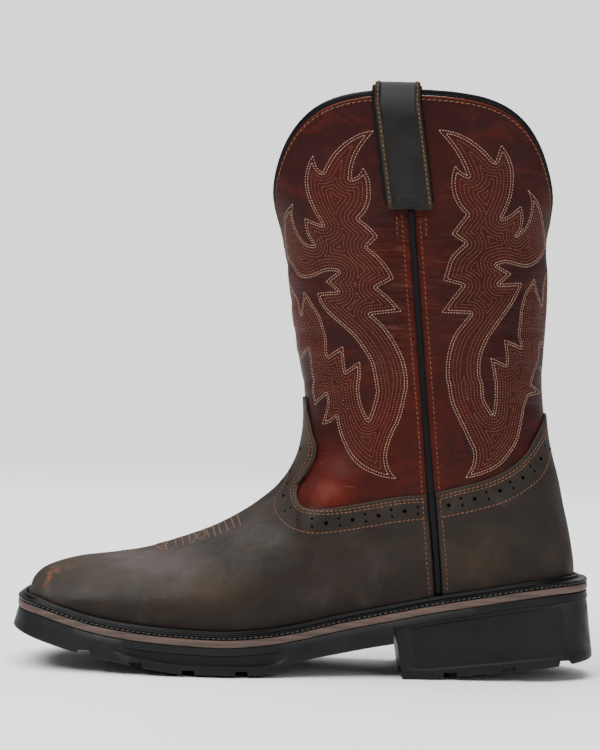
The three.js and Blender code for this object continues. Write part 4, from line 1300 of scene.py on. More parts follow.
# The palest foxing colour doubles as the painted highlight, the darkest as painted shade.
FOXING_DARK_AND_SHADE, FOXING_MIDDLE = (0.0095, 0.0056, 0.0034), (0.0185, 0.0118, 0.0078)
FOXING_PALE_AND_HIGHLIGHT, FOXING_OLIVE = (0.038, 0.028, 0.0275), (0.030, 0.0185, 0.0060)
FOXING_SCUFF, FOXING_EDGE = (0.15, 0.044, 0.017), (0.020, 0.013, 0.007)
BROWN_DARK, BROWN_PALE = (0.034, 0.0185, 0.0125), (0.076, 0.044, 0.032)
STRAP_DARK, STRAP_MIDDLE = (0.00475, 0.00428, 0.0037), (0.00898, 0.00781, 0.00713)
STRAP_FOLD, STRAP_FOLD_PALE = (0.0144, 0.0078, 0.00359), (0.0252, 0.014, 0.00607)
RUBBER_DARK, RUBBER_PALE = (0.00302, 0.00315, 0.00403), (0.00454, 0.00479, 0.00605)
WELT_DARK, WELT_PALE = (0.0008, 0.0008, 0.001), (0.0013, 0.0013, 0.0016)
TRIM_DARK, TRIM_PALE = (0.001, 0.001, 0.0015), (0.0018, 0.0018, 0.0027)
# Pinhole colours: painted shade inside the holes.
HOLE_SHADE_DARK, HOLE_SHADE_PALE = (0.00144, 0.00108, 0.00072), (0.00216, 0.00144, 0.00108)
BOARD_DARK, BOARD_PALE = (0.20, 0.13, 0.075), (0.27, 0.18, 0.10)
FLOOR_DARK, FLOOR_PALE = (0.90, 0.90, 0.90), (0.92, 0.92, 0.92)
THREADS = {
    "cream": ((0.243, 0.14, 0.0936), (0.29, 0.187, 0.136)),
    "red": ((0.086, 0.0215, 0.0095), (0.132, 0.041, 0.020)),
    "orange": ((0.128, 0.0402, 0.0116), (0.17, 0.0635, 0.0198)),
    "ridge": ((0.173, 0.0691, 0.0346), (0.207, 0.0952, 0.0518)),
    "tan": ((0.119, 0.072, 0.027), (0.152, 0.096, 0.0405)),
    "grey": ((0.026, 0.026, 0.029), (0.055, 0.055, 0.060)),
    "black": ((0.00432, 0.00432, 0.00432), (0.0072, 0.0072, 0.0072)),
}

leather_red = red_leather()
leather_dark = dark_leather()
rubber = rubber_like("rubber_black", RUBBER_DARK, RUBBER_PALE, 0.42, 0.60)
brown = layered_brown()
welt_black = rubber_like("welt_black", WELT_DARK, WELT_PALE, 0.30, 0.42, grain=0.06, shine=0.10)
board = board_paint()
trim = rubber_like("trim_black", TRIM_DARK, TRIM_PALE, 0.36, 0.5, grain=0.4, shine=0.12)
strap_leather = strap_paint()
thread = {name: thread_paint(f"thread_{name}", *colors) for name, colors in THREADS.items()}
# Painted shade for the pinholes' insides.
hole_shade_black = painted_shade_black("hole_shade_black", HOLE_SHADE_DARK, HOLE_SHADE_PALE)
floor_white = floor_paint()


def keep(piece, slot, *nodes):
    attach(piece, BODY)
    if nodes:
        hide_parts(*nodes)
    return piece


# Patches in photograph pixels: px, py, reach across, reach up, amount
# Shaft patches: the leather's own lighter and darker tone, with painted highlights low on the front.
SHAFT_TONES_AND_HIGHLIGHTS = [
    (330, 470, 26, 30, 0.75), (318, 500, 22, 14, 0.55), (352, 495, 40, 16, 0.45),
    (400, 430, 26, 70, 0.45), (400, 330, 24, 60, 0.18), (428, 300, 30, 90, 0.15),
    (445, 440, 16, 60, 0.30), (395, 255, 24, 36, 0.12), (440, 250, 26, 36, 0.15),
    (300, 130, 40, 40, -0.45), (350, 115, 50, 20, -0.30), (500, 120, 50, 30, -0.40),
    (480, 108, 50, 14, -0.30), (285, 200, 14, 60, -0.35), (545, 220, 10, 60, -0.25),
    (320, 380, 24, 60, -0.20), (520, 370, 26, 60, -0.25), (470, 460, 30, 30, -0.25),
    (500, 300, 30, 40, 0.12), (345, 240, 26, 30, 0.15), (340, 190, 24, 30, 0.15),
    (480, 190, 28, 34, 0.15),
]
# Where the shaft wrinkles; it also places painted highlights on the wrinkles' crests.
WRINKLED = [
    (395, 260, 30, 70, 1.0), (450, 260, 30, 60, 1.0), (390, 330, 26, 40, 0.6), (520, 330, 30, 60, 0.8),
    (330, 290, 30, 50, 0.45), (480, 330, 30, 70, 0.5), (300, 240, 20, 50, 0.4),
]
# Foxing patches: a painted highlight on the toe's top, painted shade that damps the lamp's highlight on the
# vamp's side, and painted shade with a darker burnished tone low along the welt.
FOXING_TONES_AND_PAINTED_LIGHT = [
    (160, 563, 50, 15, 1.0), (275, 540, 56, 36, -0.85), (95, 585, 40, 16, -0.25),
    (110, 560, 40, 12, 0.45), (300, 590, 60, 16, 0.30), (350, 560, 60, 18, 0.35),
    (250, 560, 70, 22, 0.20), (500, 540, 40, 30, 0.10), (130, 616, 100, 24, -0.42),
    (300, 622, 120, 24, -0.45), (420, 604, 60, 24, -0.40), (540, 570, 40, 16, -0.35),
    (310, 430, 14, 40, 0.10), (520, 460, 40, 20, 0.10),
]
OLIVES = [
    (60, 560, 34, 12, 0.55), (110, 580, 34, 14, 0.35), (205, 590, 40, 16, 0.60),
    (475, 560, 26, 22, 0.45), (340, 545, 60, 8, 0.30), (262, 510, 14, 10, 0.35), (80, 548, 40, 6, 0.45),
    (300, 450, 12, 40, 0.30),
]
# Along the side seam: amount, millimetres from the seam, reach
SEAM_TONES = [(0.2, 0, 6), (0.30, 3.0, 1.5)]
SCUFFS = [(51, 574, 3, 5, 0.9), (58, 569, 4, 2.5, 0.5), (47, 582, 2.5, 4, 0.4), (70, 566, 5, 1.5, 0.25)]


PATCH_SCALE = 0.53


def patches(rows, x, z):
    total = np.zeros(np.shape(x))
    for px, py, across, tall, amount in rows:
        cx, cz = side_view(px, py)
        wide, high = across * PATCH_SCALE, tall * PATCH_SCALE
        total += amount * np.exp(-((x - cx) / wide) ** 2 - ((z - cz) / high) ** 2)
    return total


def places(piece):
    count = len(piece.data.vertices)
    flat = np.zeros(count * 3)
    piece.data.vertices.foreach_get("co", flat)
    return flat.reshape(-1, 3) / MM


# Flames of the shaft in photograph pixels, tip to tip round each closed line
FRONT_FLAME = [
    (373.7, 130.7), (360, 134), (346, 142), (333.5, 153.7), (327, 163), (322, 172.8), (316, 168),
    (312.4, 155.6), (307.6, 164), (305.2, 175.7), (305.7, 187), (309.5, 200.6), (316, 214),
    (323, 225.5), (304.8, 218.5), (306, 228), (308.4, 236), (314.7, 245.7), (306.6, 244),
    (300.4, 237.7), (295.9, 228.8), (292.4, 217), (292.8, 203.8), (287, 211), (284.3, 220.7),
    (284.8, 233), (285.7, 245), (288, 258), (292.4, 267), (296.8, 273.4), (302, 277), (308.4, 277.5),
    (315, 275.5), (323.4, 271.7), (332, 270.6), (339, 271.7), (326, 281.5), (338.5, 291.8),
    (316.8, 293.4), (320, 301.5), (327.7, 312.4), (340.7, 324.3), (353.7, 336.2), (363.4, 349.2),
    (371, 362.2), (374.3, 376.3), (376, 388), (373.5, 405.5), (368.4, 419.8), (362.2, 407.6),
    (359.2, 392), (360.2, 376.3), (359.7, 361.7), (345, 372), (344, 360), (342.9, 346.5),
    (327.7, 356.8), (326.6, 347), (324.4, 332), (320, 316.7), (313.6, 306), (307, 297), (303.3, 291.8),
    (302.2, 304.8), (301.7, 315), (297.3, 300.4), (293, 290.7), (289.2, 281), (280, 290), (280, 320),
    (284, 350), (300.6, 361), (309.8, 348.7), (310.3, 360), (312.3, 381.7), (312.2, 390), (315.3, 405),
    (326.5, 394.3), (327.5, 403.5), (322.4, 424.4), (330.6, 421.8), (336.7, 416.2), (337.8, 424),
    (341.8, 439), (348, 452.4), (358.2, 464.7), (372.4, 473), (384.7, 477), (395.9, 478.5),
    (389.8, 470.8), (386.7, 460.6), (387.2, 449.4), (392.9, 433), (399, 420.8), (406.3, 392.6),
    (407.3, 381.7), (405.7, 368.7), (401.4, 354.6), (392.7, 338.4), (383, 325.4), (371, 314.5),
    (401.4, 311.3), (388.4, 297.2), (376.5, 287.4), (393.8, 278.2), (387.3, 267), (377.5, 256),
    (366.7, 247.3), (377.5, 236.5), (372, 230), (358.8, 218.8), (365, 212), (369.8, 201.5),
    (370.3, 190), (368.9, 179.5), (363, 168), (358.3, 175.7), (350.7, 179.5), (351.7, 169),
    (355.5, 156.6), (362.2, 145),
]
BACK_FLAME = [
    (438.7, 130), (447.6, 131), (458, 133.7), (470.8, 140), (484.4, 150.5), (496, 163), (501.3, 145.2),
    (508.6, 155.8), (513.9, 171.6), (512.9, 190.5), (506.5, 208.4), (501.3, 219), (510.8, 214.7),
    (520.7, 206.3), (522.9, 217), (520.2, 231.5), (516, 235.7), (525.5, 227.3), (530.7, 213.6),
    (531.8, 201), (528.6, 190), (537, 201), (541.3, 212.6), (543.4, 225), (544.9, 240), (544.9, 248.4),
    (540.6, 258), (533, 264.7), (525.4, 267), (514.6, 264.7), (506, 262.5), (496, 265.2), (510.8, 274),
    (499.4, 284.2), (521.6, 283), (520, 290.7), (512.4, 303.7), (501.6, 319), (491.8, 333),
    (484.2, 347), (480.4, 360), (480, 374), (483, 387), (484.2, 400), (493, 415), (495, 400),
    (494, 376.4), (490.7, 358), (507, 365.5), (506, 354.7), (504.8, 340), (521, 347), (519, 333),
    (520, 314.6), (524.3, 297), (534, 278.8), (538.4, 295), (541.7, 306), (543.8, 282), (547, 271),
    (556, 280), (556, 330), (545, 343), (539.5, 344), (538.4, 360), (530.8, 384), (539.5, 392.6),
    (528, 396), (523, 415), (520, 430), (517.5, 440), (510.5, 452.6), (499.3, 465.3), (481, 474.4),
    (465.6, 478), (472.6, 465), (473.3, 451), (468.4, 440), (459, 420), (450.6, 400), (446.3, 371),
    (448.4, 352.5), (453.9, 336), (462.5, 324), (471.2, 313.5), (441.9, 312.4), (451.7, 299.4),
    (462.5, 285.3), (443.6, 280), (451.7, 257), (465.8, 243), (452, 234), (466.6, 214.7), (458, 205),
    (452.9, 193.6), (451.8, 180), (455, 165.8), (460.2, 171.5), (467.6, 175.8), (462.3, 163),
    (453.9, 148.4),
]
GIRTH_STEP = 0.95


def unrolled(pixels):
    """Photograph pixels as millimetres round the shaft and up, 0 at the front line."""
    pixels = np.asarray(pixels, float)
    x, z = side_view(pixels[:, 0], pixels[:, 1])
    _, degrees = place_of(x, z)
    before = np.maximum(front_x(z) + 0.2 - x, 0)
    behind = np.maximum(x - back_x(z) + 0.2, 0)
    return np.column_stack([degrees * GIRTH_STEP - before * 4 + behind * 4, z])


def rounded(points, closed, corner=48, step=0.4):
    """Smooth line through the points, broken at its sharp corners."""
    points = np.asarray(points, float)
    count = len(points)
    before = np.roll(points, 1, axis=0)
    after = np.roll(points, -1, axis=0)
    a, b = points - before, after - points
    turn = np.degrees(np.abs(np.arctan2(a[:, 0] * b[:, 1] - a[:, 1] * b[:, 0], np.sum(a * b, axis=1))))
    corners = [i for i in range(count) if turn[i] > corner]
    if not closed:
        corners = sorted(set([0, count - 1] + [i for i in corners if 0 < i < count - 1]))
        runs = [points[i:j + 1] for i, j in zip(corners, corners[1:])]
    else:
        rolled = np.roll(points, -corners[0], axis=0)
        marks = [i - corners[0] for i in corners] + [count]
        looped = np.vstack([rolled, rolled[:1]])
        runs = [looped[i:j + 1] for i, j in zip(marks, marks[1:])]
    out = []
    for run in runs:
        length = np.sum(np.linalg.norm(np.diff(run, axis=0), axis=1))
        steps = max(int(length / step), 2)
        line = spline_points(run, steps) if len(run) > 2 else np.linspace(run[0], run[1], steps + 1)
        out.append(line)
    return out


def joined(runs):
    return np.vstack([runs[0]] + [run[1:] for run in runs[1:]])


FIELD_STEP = 0.5


def distance_field(outline, low, high):
    """Signed distance to a closed line on a grid, positive inside."""
    us = np.arange(low[0], high[0], FIELD_STEP)
    vs = np.arange(low[1], high[1], FIELD_STEP)
    u, v = np.meshgrid(us, vs, indexing="ij")
    best = np.full(u.shape, 1e9)
    inside = np.zeros(u.shape, bool)
    nexts = np.roll(outline, -1, axis=0)
    for (x0, y0), (x1, y1) in zip(outline, nexts):
        dx, dy = x1 - x0, y1 - y0
        length = dx * dx + dy * dy
        if length < 1e-9:
            continue
        t = np.clip(((u - x0) * dx + (v - y0) * dy) / length, 0, 1)
        best = np.minimum(best, (u - x0 - t * dx) ** 2 + (v - y0 - t * dy) ** 2)
        if abs(dy) > 1e-9:
            crosses = (v >= min(y0, y1)) & (v < max(y0, y1)) & (u < x0 + (v - y0) * dx / dy)
            inside ^= crosses
    return us, vs, np.where(inside, 1, -1) * np.sqrt(best)


# The four edges of a grid cell: steps in u and v to both ends
CELL_EDGES = ((0, 0, 1, 0), (1, 0, 1, 1), (0, 1, 1, 1), (0, 0, 0, 1))


def level_lines(us, vs, field, level):
    """Lines of the grid where the field has this value."""
    over = field > level
    links = {}

    def crossing(i, j, k, m):
        a, b = field[i, j], field[k, m]
        t = (level - a) / (b - a)
        return (i, j, k, m), (us[i] + t * (us[k] - us[i]), vs[j] + t * (vs[m] - vs[j]))

    spots = {}
    mixed = over[:-1, :-1].astype(int) + over[1:, :-1] + over[:-1, 1:] + over[1:, 1:]
    for i, j in zip(*np.nonzero((mixed > 0) & (mixed < 4))):
        edges = []
        for da, db, dc, dd in CELL_EDGES:
            a, b, c, d = i + da, j + db, i + dc, j + dd
            if over[a, b] != over[c, d]:
                key, spot = crossing(a, b, c, d)
                spots[key] = spot
                edges.append(key)
        for first, second in zip(edges[::2], edges[1::2]):
            links.setdefault(first, []).append(second)
            links.setdefault(second, []).append(first)
    lines = []
    left = dict.fromkeys(links)
    while left:
        start = next((key for key in left if len(links[key]) == 1), next(iter(left)))
        line = [start]
        left.pop(start)
        while True:
            onward = [key for key in links[line[-1]] if key in left]
            if not onward:
                break
            line.append(onward[0])
            left.pop(onward[0])
        closed = len(line) > 2 and line[0] in links[line[-1]]
        points = np.array([spots[key] for key in line] + ([spots[line[0]]] if closed else []))
        if len(points) > 6:
            lines.append(points)
    return lines


def climb_at(degrees, z):
    low, high = np.zeros(np.shape(z)), np.full(np.shape(z), 2.0)
    for _ in range(30):
        middle = (low + high) / 2
        over = skin_points(middle, degrees)[..., 2] > z
        high = np.where(over, middle, high)
        low = np.where(over, low, middle)
    return (low + high) / 2


# Stitches
STITCH = [
    (4 * k + j, 4 * k + (j + 1) % 4, 4 * k + 4 + (j + 1) % 4, 4 * k + 4 + j)
    for k in range(2) for j in range(4)
]
STITCH += [(3, 2, 1, 0), (8, 9, 10, 11)]
MEETING_DEGREES = 14


class Seam:
    """Gathers stitches along lines, then makes them one mesh."""

    def __init__(self, name, material, slot, pitch, share, radius, seed, slant=0.0, height=0.8):
        self.name, self.material, self.slot = name, material, slot
        self.pitch, self.share, self.radius = pitch, share, radius
        self.slant, self.height = slant, height
        self.rng = np.random.default_rng(seed)
        self.blocks = []

    def sew(self, points, normals):
        run = run_along(points)
        count = int(run[-1] / self.pitch)
        if count < 1:
            return
        starts = (np.arange(count) + 0.5 - self.share / 2) * run[-1] / count
        starts = starts + self.rng.normal(0, 0.03, count) * self.pitch
        length = self.pitch * self.share * (1 + self.rng.normal(0, 0.05, count))

        def at(where, values):
            return np.column_stack([np.interp(where, run, values[:, k]) for k in range(3)])

        a, b = at(starts, points), at(starts + length, points)
        n = at(starts + length / 2, normals)
        n = unit(n)
        along = (b - a) / np.maximum(np.linalg.norm(b - a, axis=1, keepdims=True), 1e-9)
        aside = np.cross(n, along)
        lean = (self.slant + self.rng.normal(0, 0.05, count))[:, None] * length[:, None] / 2
        a, b = a - aside * lean, b + aside * lean
        wide = self.radius * (1 + self.rng.normal(0, 0.06, count))[:, None]
        corners = []
        for share, spread, rise in ((0.0, 0.55, 0.15), (0.5, 1.0, 1.0), (1.0, 0.55, 0.15)):
            middle = a + (b - a) * share
            corners += [
                middle + aside * wide * spread, middle + n * wide * self.height * rise,
                middle - aside * wide * spread, middle - n * wide * 0.7,
            ]
        self.blocks.append(np.stack(corners, axis=1))

    def sew_on(self, climb, turned, out):
        """Along a line on the skin, raised by out."""
        _, normal = skin_frame(climb, turned)
        self.sew(surface(climb, turned, out), normal)

    def sew_skin(self, degrees, z, side, out):
        """Along a line given round the boot and up."""
        self.sew_on(climb_at(degrees, z), signed_degrees(degrees, side), out)

    def sew_side(self, x, z, side, out, meet=False):
        """Along a line given in side view, led to the middle line if it may meet its mirror image."""
        climb, degrees = place_of(x, z)
        for end in (0, -1) if meet else ():
            if min(degrees[end], 180 - degrees[end]) < MEETING_DEGREES:
                middle = round(degrees[end] / 180) * 180
                place = 0 if end == 0 else len(degrees)
                degrees = np.insert(degrees, place, middle)
                climb = np.insert(climb, place, climb[end])
        self.sew_on(climb, signed_degrees(degrees, side), out)

    def finish(self):
        points = np.concatenate(self.blocks)
        firsts = 12 * np.arange(len(points))[:, None, None]
        faces = (np.array(STITCH)[None] + firsts).reshape(-1, 4).tolist()
        piece = new_object(self.name, points.reshape(-1, 3), faces, self.material)
        return keep(face_out(piece), self.slot)


# Heights of threads over the smooth skin
ON_FOXING = GAP + OVERLAY + 0.02
ON_SHAFT, ON_FILLING = 0.08, 0.02


def parts_where(points, keep_them):
    """The unbroken stretches of a line where the mask holds."""
    out, start = [], None
    for i, good in enumerate(list(keep_them) + [False]):
        if good and start is None:
            start = i
        if not good and start is not None:
            if i - start > 4:
                out.append(points[start:i])
            start = None
    return out


SEAM_UPS = np.linspace(0, 0.8, 200)
SEAM_X, SEAM_Z = seam_point(SEAM_UPS)
SEAM_TURNS = place_of(SEAM_X, SEAM_Z)[1] * GIRTH_STEP
HALF_GIRTH = 180 * GIRTH_STEP


def seam_turn(z):
    return np.interp(z, SEAM_Z, SEAM_TURNS)


# Main pieces
shaft, shaft_turns = build_shaft(leather_red)
keep(shaft, "leather_red", "upper")
vamp = keep(build_foxing("vamp_leather", True, 150, 100, leather_dark), "leather_dark", "vamp")
counter = keep(build_foxing("counter_leather", False, 80, 60, leather_dark), "leather_dark", "counter")
keep(build_outsole(rubber), "rubber_black", "outsole")
keep(build_heel(rubber), "rubber_black", "heel")
keep(build_midsole(brown), "midsole_brown", "midsole")
keep(build_welt(welt_black), "welt_black", "welt")
keep(build_insole(board), "leather_insole", "insole")
keep(build_binding(trim), "trim_black", "collar_binding")

flames = []
for outline in (FRONT_FLAME, BACK_FLAME):
    runs = rounded(unrolled(outline), True)
    closed = joined(runs)[:-1]
    flames.append((runs,) + distance_field(closed[::4], closed.min(0) - 3, closed.max(0) + 3))


def field_at(flame, u, v):
    _, us, vs, field = flame
    i = np.clip(((u - us[0]) / FIELD_STEP).astype(int), 0, len(us) - 1)
    j = np.clip(((v - vs[0]) / FIELD_STEP).astype(int), 0, len(vs) - 1)
    return field[i, j]


where = places(shaft)
around = np.where(shaft_turns <= 180, shaft_turns, 360 - shaft_turns) * GIRTH_STEP
motif = np.maximum(*(ease(field_at(flame, around, where[:, 2]), -0.3, 0.8) for flame in flames))
attribute(shaft, "motif", motif)
beside_seam = np.abs(around - seam_turn(where[:, 2]))
# Shaft tone: its own patches with painted highlights low on the front, and a band along the side seam.
tone_and_painted_light = patches(SHAFT_TONES_AND_HIGHLIGHTS, where[:, 0], where[:, 2])
for amount, away, reach in SEAM_TONES:
    tone_and_painted_light = tone_and_painted_light + amount * np.exp(-((beside_seam - away) / reach) ** 2)
attribute(shaft, "tone_and_painted_light", tone_and_painted_light)
# Wrinkle mask: bump, and painted highlights on the crests.
attribute(shaft, "wrinkled", np.clip(patches(WRINKLED, where[:, 0], where[:, 2]), 0, 1))
for piece in (vamp, counter):
    where = places(piece)
    # Painted highlight and shade patches on the foxing.
    attribute(piece, "tone_and_painted_light", patches(FOXING_TONES_AND_PAINTED_LIGHT, where[:, 0], where[:, 2]))
    attribute(piece, "olive", np.clip(patches(OLIVES, where[:, 0], where[:, 2]), 0, 0.9))
    scuffs = patches(SCUFFS, where[:, 0], where[:, 2]) * (where[:, 1] < 10)
    attribute(piece, "scuff", np.clip(scuffs, 0, 0.9))


# Foxing edge rows and pinholes
VAMP_EDGE = [
    (304.6, 398), (310, 416), (314.8, 437), (317.3, 446), (315.3, 459.6), (307, 476), (300, 487),
    (298.5, 495), (301, 504.5), (307, 507.6), (321.4, 509), (341.8, 507), (372.4, 502), (400, 497.3),
    (426.3, 495.4),
]
COUNTER_EDGE = [
    (436, 494), (458.6, 487.7), (486.6, 480.7), (510.5, 468.8), (524.5, 456), (533, 444), (545, 415),
    (550, 386),
]
# The lower row of the foxing band, round the tongue and to the seam
BAND_ROWS = [
    [
        (305.5, 414), (304, 426), (302, 440), (297, 458), (291, 474), (283.7, 489.7), (277.5, 499),
        (276.3, 507), (279.6, 517.8), (290.8, 528), (304, 532), (317.3, 533), (341.8, 530.5),
        (372.4, 525.4), (400, 520.8), (424, 518.2),
    ],
    [(442, 516.8), (478.2, 508.8), (506.3, 500.3), (527.3, 487.7), (541.4, 473.7), (547, 458), (548.4, 446)],
]
# Distances in from the foxing's edge, from the side seam and from the outline
FOXING_ROWS = (1.6, 3.1)
FRONT_MARGIN, BACK_MARGIN, HOLE_MARGIN = 3.4, 4.4, 6.5
EDGE_CLEAR = 0.3
HOLE_ROW, HOLE_PITCH, HOLE_START = 7.4, 14.0, 0.35
HOLE_LARGE, HOLE_SMALL, HOLE_ASIDE = 1.05, 0.68, 1.9


def side_line(pixels):
    pixels = np.asarray(pixels, float)
    return np.column_stack(side_view(pixels[:, 0], pixels[:, 1]))


def foxing_field(edge_pixels, front):
    edge = joined(rounded(side_line(edge_pixels), False))
    if front:
        end = edge[-1]
        rest = [(end[0] + 25, end[1]), (end[0] + 25, 15), (-60, 15), (-60, edge[0][1])]
    else:
        start, end = edge[0], edge[-1]
        rest = [(end[0] + 40, end[1]), (end[0] + 40, 15), (start[0] - 25, 15), (start[0] - 25, start[1])]
    outline = np.vstack([edge[::3], rest])
    return distance_field(outline, outline.min(0) + [8, 20], outline.max(0) - [8, -2])


def foxing_lines(field, level, front, margin):
    lines = []
    for points in level_lines(*field, level):
        x, z = points[:, 0], points[:, 1]
        seam = np.interp(z, SEAM_Z, SEAM_X)
        if front:
            good = (x > front_x(z) + EDGE_CLEAR) & (x < seam - margin)
        else:
            good = (x < back_x(z) - EDGE_CLEAR) & (x > seam + margin)
        lines += parts_where(points, good)
    return [line for line in lines if len(line) > 12]


foxing_fields = [(foxing_field(VAMP_EDGE, True), True), (foxing_field(COUNTER_EDGE, False), False)]


def disc_mesh(name, spots, material, slot):
    """Small round pinholes as dark discs that paint the shade inside each hole: centre, normal and radius of
    each.
    """
    corners = 10
    points, faces = [], []
    for centre, normal, radius in spots:
        aside = np.cross(normal, [0, 0, 1.0])
        aside = aside / np.linalg.norm(aside)
        up = np.cross(aside, normal)
        base = len(points)
        for k in range(corners):
            angle = 2 * math.pi * k / corners
            points.append(centre + (aside * math.cos(angle) + up * math.sin(angle)) * radius)
        points.append(centre + normal * 0.04)
        faces += [(base + k, base + (k + 1) % corners, base + corners) for k in range(corners)]
    return keep(new_object(name, np.array(points), faces, material), slot)


# Distances in from the flames' outline: second row, then the filling
SECOND_ROW = 1.25
FILLING_LEVELS = [2.9 + 1.6 * k for k in range(14)]


def sew_flame(seam, line, side, out):
    """Along a line given in millimetres round the shaft and up, kept to one side of the boot."""
    good = (line[:, 0] > EDGE_CLEAR) & (line[:, 0] < HALF_GIRTH - EDGE_CLEAR)
    for part in parts_where(line, good):
        seam.sew_skin(part[:, 0] / GIRTH_STEP, part[:, 1], side, out)


def flame_seams(side, word):
    border = Seam(
        f"flame_border_{word}", thread["cream"], "leather_red",
        pitch=1.42, share=0.68, radius=0.26, seed=11, slant=0.14)
    filling = Seam(
        f"flame_filling_{word}", thread["red"], "leather_red",
        pitch=1.42, share=0.66, radius=0.24, seed=12, slant=0.14)
    for runs, us, vs, field in flames:
        for run in runs:
            sew_flame(border, run, side, ON_SHAFT)
        for line in level_lines(us, vs, field, SECOND_ROW):
            sew_flame(border, line, side, ON_SHAFT)
        for level in FILLING_LEVELS:
            for line in level_lines(us, vs, field, level):
                sew_flame(filling, line, side, ON_FILLING)
    border.finish()
    filling.finish()


# Rows beside the side seam, in photograph pixels
SEAM_ROWS = [
    [(401.6, 214), (409, 315), (419.3, 440), (422, 494)],
    [(420, 220), (427, 316), (436, 440), (439.3, 490)],
    [(396.6, 215), (397.0, 226), (397.4, 236)],
    [(425.7, 217), (426.1, 227), (426.5, 237.5)],
]
SEAM_ROWS_LOW = [
    [(422.3, 500), (426.3, 559), (429.8, 596)],
    [(439.8, 499), (445, 552), (447.3, 591)],
]


def sew_pixels(seam, pixels, count, side, out):
    """Along a smooth line through pixels of the photograph."""
    line = spline_points(np.array(pixels, float), count)
    x, z = side_view(line[:, 0], line[:, 1])
    seam.sew_side(x, z, side, out)


def seam_rows(side, word):
    rows = Seam(
        f"seam_rows_{word}", thread["orange"], "leather_red",
        pitch=2.6, share=0.62, radius=0.27, seed=21, slant=0.22)
    for row in SEAM_ROWS:
        sew_pixels(rows, row, 160, side, ON_SHAFT)
    for row in SEAM_ROWS_LOW:
        sew_pixels(rows, row, 160, side, ON_FOXING + 0.05)
    rows.finish()


def holes_along(line):
    """Side-view centres and radii of pinholes: one large, two small, by turns."""
    run = run_along(line)
    normal = unit(np.column_stack([-np.gradient(line[:, 1]), np.gradient(line[:, 0])]))
    holes = []
    for k in range(int(run[-1] / HOLE_PITCH * 2) + 1):
        at = (k + HOLE_START) * HOLE_PITCH / 2
        if at > run[-1]:
            break
        spot = np.array([np.interp(at, run, line[:, i]) for i in (0, 1)])
        aside = np.array([np.interp(at, run, normal[:, i]) for i in (0, 1)])
        if k % 2 == 0:
            holes.append((spot, HOLE_LARGE))
        else:
            holes += [(spot + aside * way * HOLE_ASIDE, HOLE_SMALL) for way in (1, -1)]
    return holes


def hole_spot(spot, radius, side):
    climb, degrees = place_of(spot[:1], spot[1:])
    turned = signed_degrees(degrees, side)
    centre = surface(climb, turned, ON_FOXING + 0.02)[0]
    return centre, surface(climb, turned, 1.0)[0] - surface(climb, turned, 0.0)[0], radius


def foxing_seams(side, word):
    band = Seam(
        f"foxing_rows_{word}", thread["orange"], "leather_dark",
        pitch=2.4, share=0.72, radius=0.29, seed=22, slant=0.16)
    spots = []
    for field, front in foxing_fields:
        margin = FRONT_MARGIN if front else BACK_MARGIN
        for level in FOXING_ROWS:
            for line in foxing_lines(field, level, front, margin):
                band.sew_side(line[:, 0], line[:, 1], side, ON_FOXING + 0.06, meet=True)
        for line in foxing_lines(field, HOLE_ROW, front, HOLE_MARGIN):
            spots += [hole_spot(spot, radius, side) for spot, radius in holes_along(line)]
    for row in BAND_ROWS:
        line = joined(rounded(side_line(row), False, corner=80))
        x, z = line[:, 0], line[:, 1]
        for part in parts_where(line, (x > front_x(z) + 0.2) & (x < back_x(z) - 0.2)):
            band.sew_side(part[:, 0], part[:, 1], side, ON_FOXING + 0.06, meet=True)
    band.finish()
    disc_mesh(f"pinholes_{word}", spots, hole_shade_black, "leather_dark")


def collar_seam():
    row = Seam(
        "collar_row", thread["orange"], "leather_red",
        pitch=3.0, share=0.80, radius=0.30, seed=31, slant=0.15)
    for low, high in ((1.5, 74.0), (89.0, 271.0), (286.0, 358.5)):
        degrees = np.linspace(low, high, 500)
        top = skin_points(np.full(500, 2.0), degrees)
        under = skin_points(np.full(500, 1.98), degrees)
        climb = 2 - 0.02 * 1.9 / np.linalg.norm(top - under, axis=1)
        row.sew_on(climb, degrees, ON_SHAFT)
    row.finish()


# Ornament over the vamp's ridge, in photograph pixels
RIDGE_LINES = [
    [(118, 553), (136, 551.5), (155, 548)],
    [(155.5, 547.5), (158, 544.5), (163, 543.8), (166.5, 547), (167.5, 551)],
    [(155.5, 547.5), (160, 550.5), (166, 552), (169.5, 551.5)],
    [(169, 544.5), (166.5, 547.5), (162, 549)],
    [(176, 540.5), (177, 549)],
    [(182.5, 538.2), (184.5, 547.5)],
    [(190, 535.6), (191.5, 545.5), (195, 544)],
    [(194, 534.3), (200, 541), (206.5, 540.5)],
    [(194.5, 543.5), (199, 537), (204.5, 533), (206.5, 537), (201, 540)],
    [(207.5, 530), (209.8, 540)],
    [(213.6, 527.5), (216.5, 538)],
    [(219, 525.2), (222, 536)],
    [(225.5, 522.3), (229, 533.5)],
    [(232, 519.3), (235.8, 530.6)],
    [(238, 516.4), (242.4, 528)],
]


def ridge_seams(side, word):
    row = Seam(
        f"ridge_ornament_{word}", thread["ridge"], "leather_dark",
        pitch=1.75, share=0.80, radius=0.36, seed=41, slant=0.12)
    for line in RIDGE_LINES:
        sew_pixels(row, line, 60, side, ON_FOXING + 0.05)
    row.finish()


def welt_seam():
    row = Seam(
        "welt_row", thread["grey"], "welt_black", pitch=2.8, share=0.6, radius=0.32, seed=51, slant=0.25)
    points = ring(further(LAYERS, -0.12), lambda x: welt_low(x) + 0.55)
    points = np.vstack([points, points[:1]])
    along = np.gradient(points, axis=0)
    outward = np.cross(along, [0, 0, 1.0])
    middle = points * [1, 0, 1]
    middle[:, 0] = np.clip(middle[:, 0], -100, 100)
    outward = outward * np.sign(np.sum(outward * (points - middle), axis=1))[:, None]
    row.sew(points, outward)
    row.finish()


# Straps: black band below, leather with folded edges over it
STRAP_HALF = 11.6
FOLD = 2.7


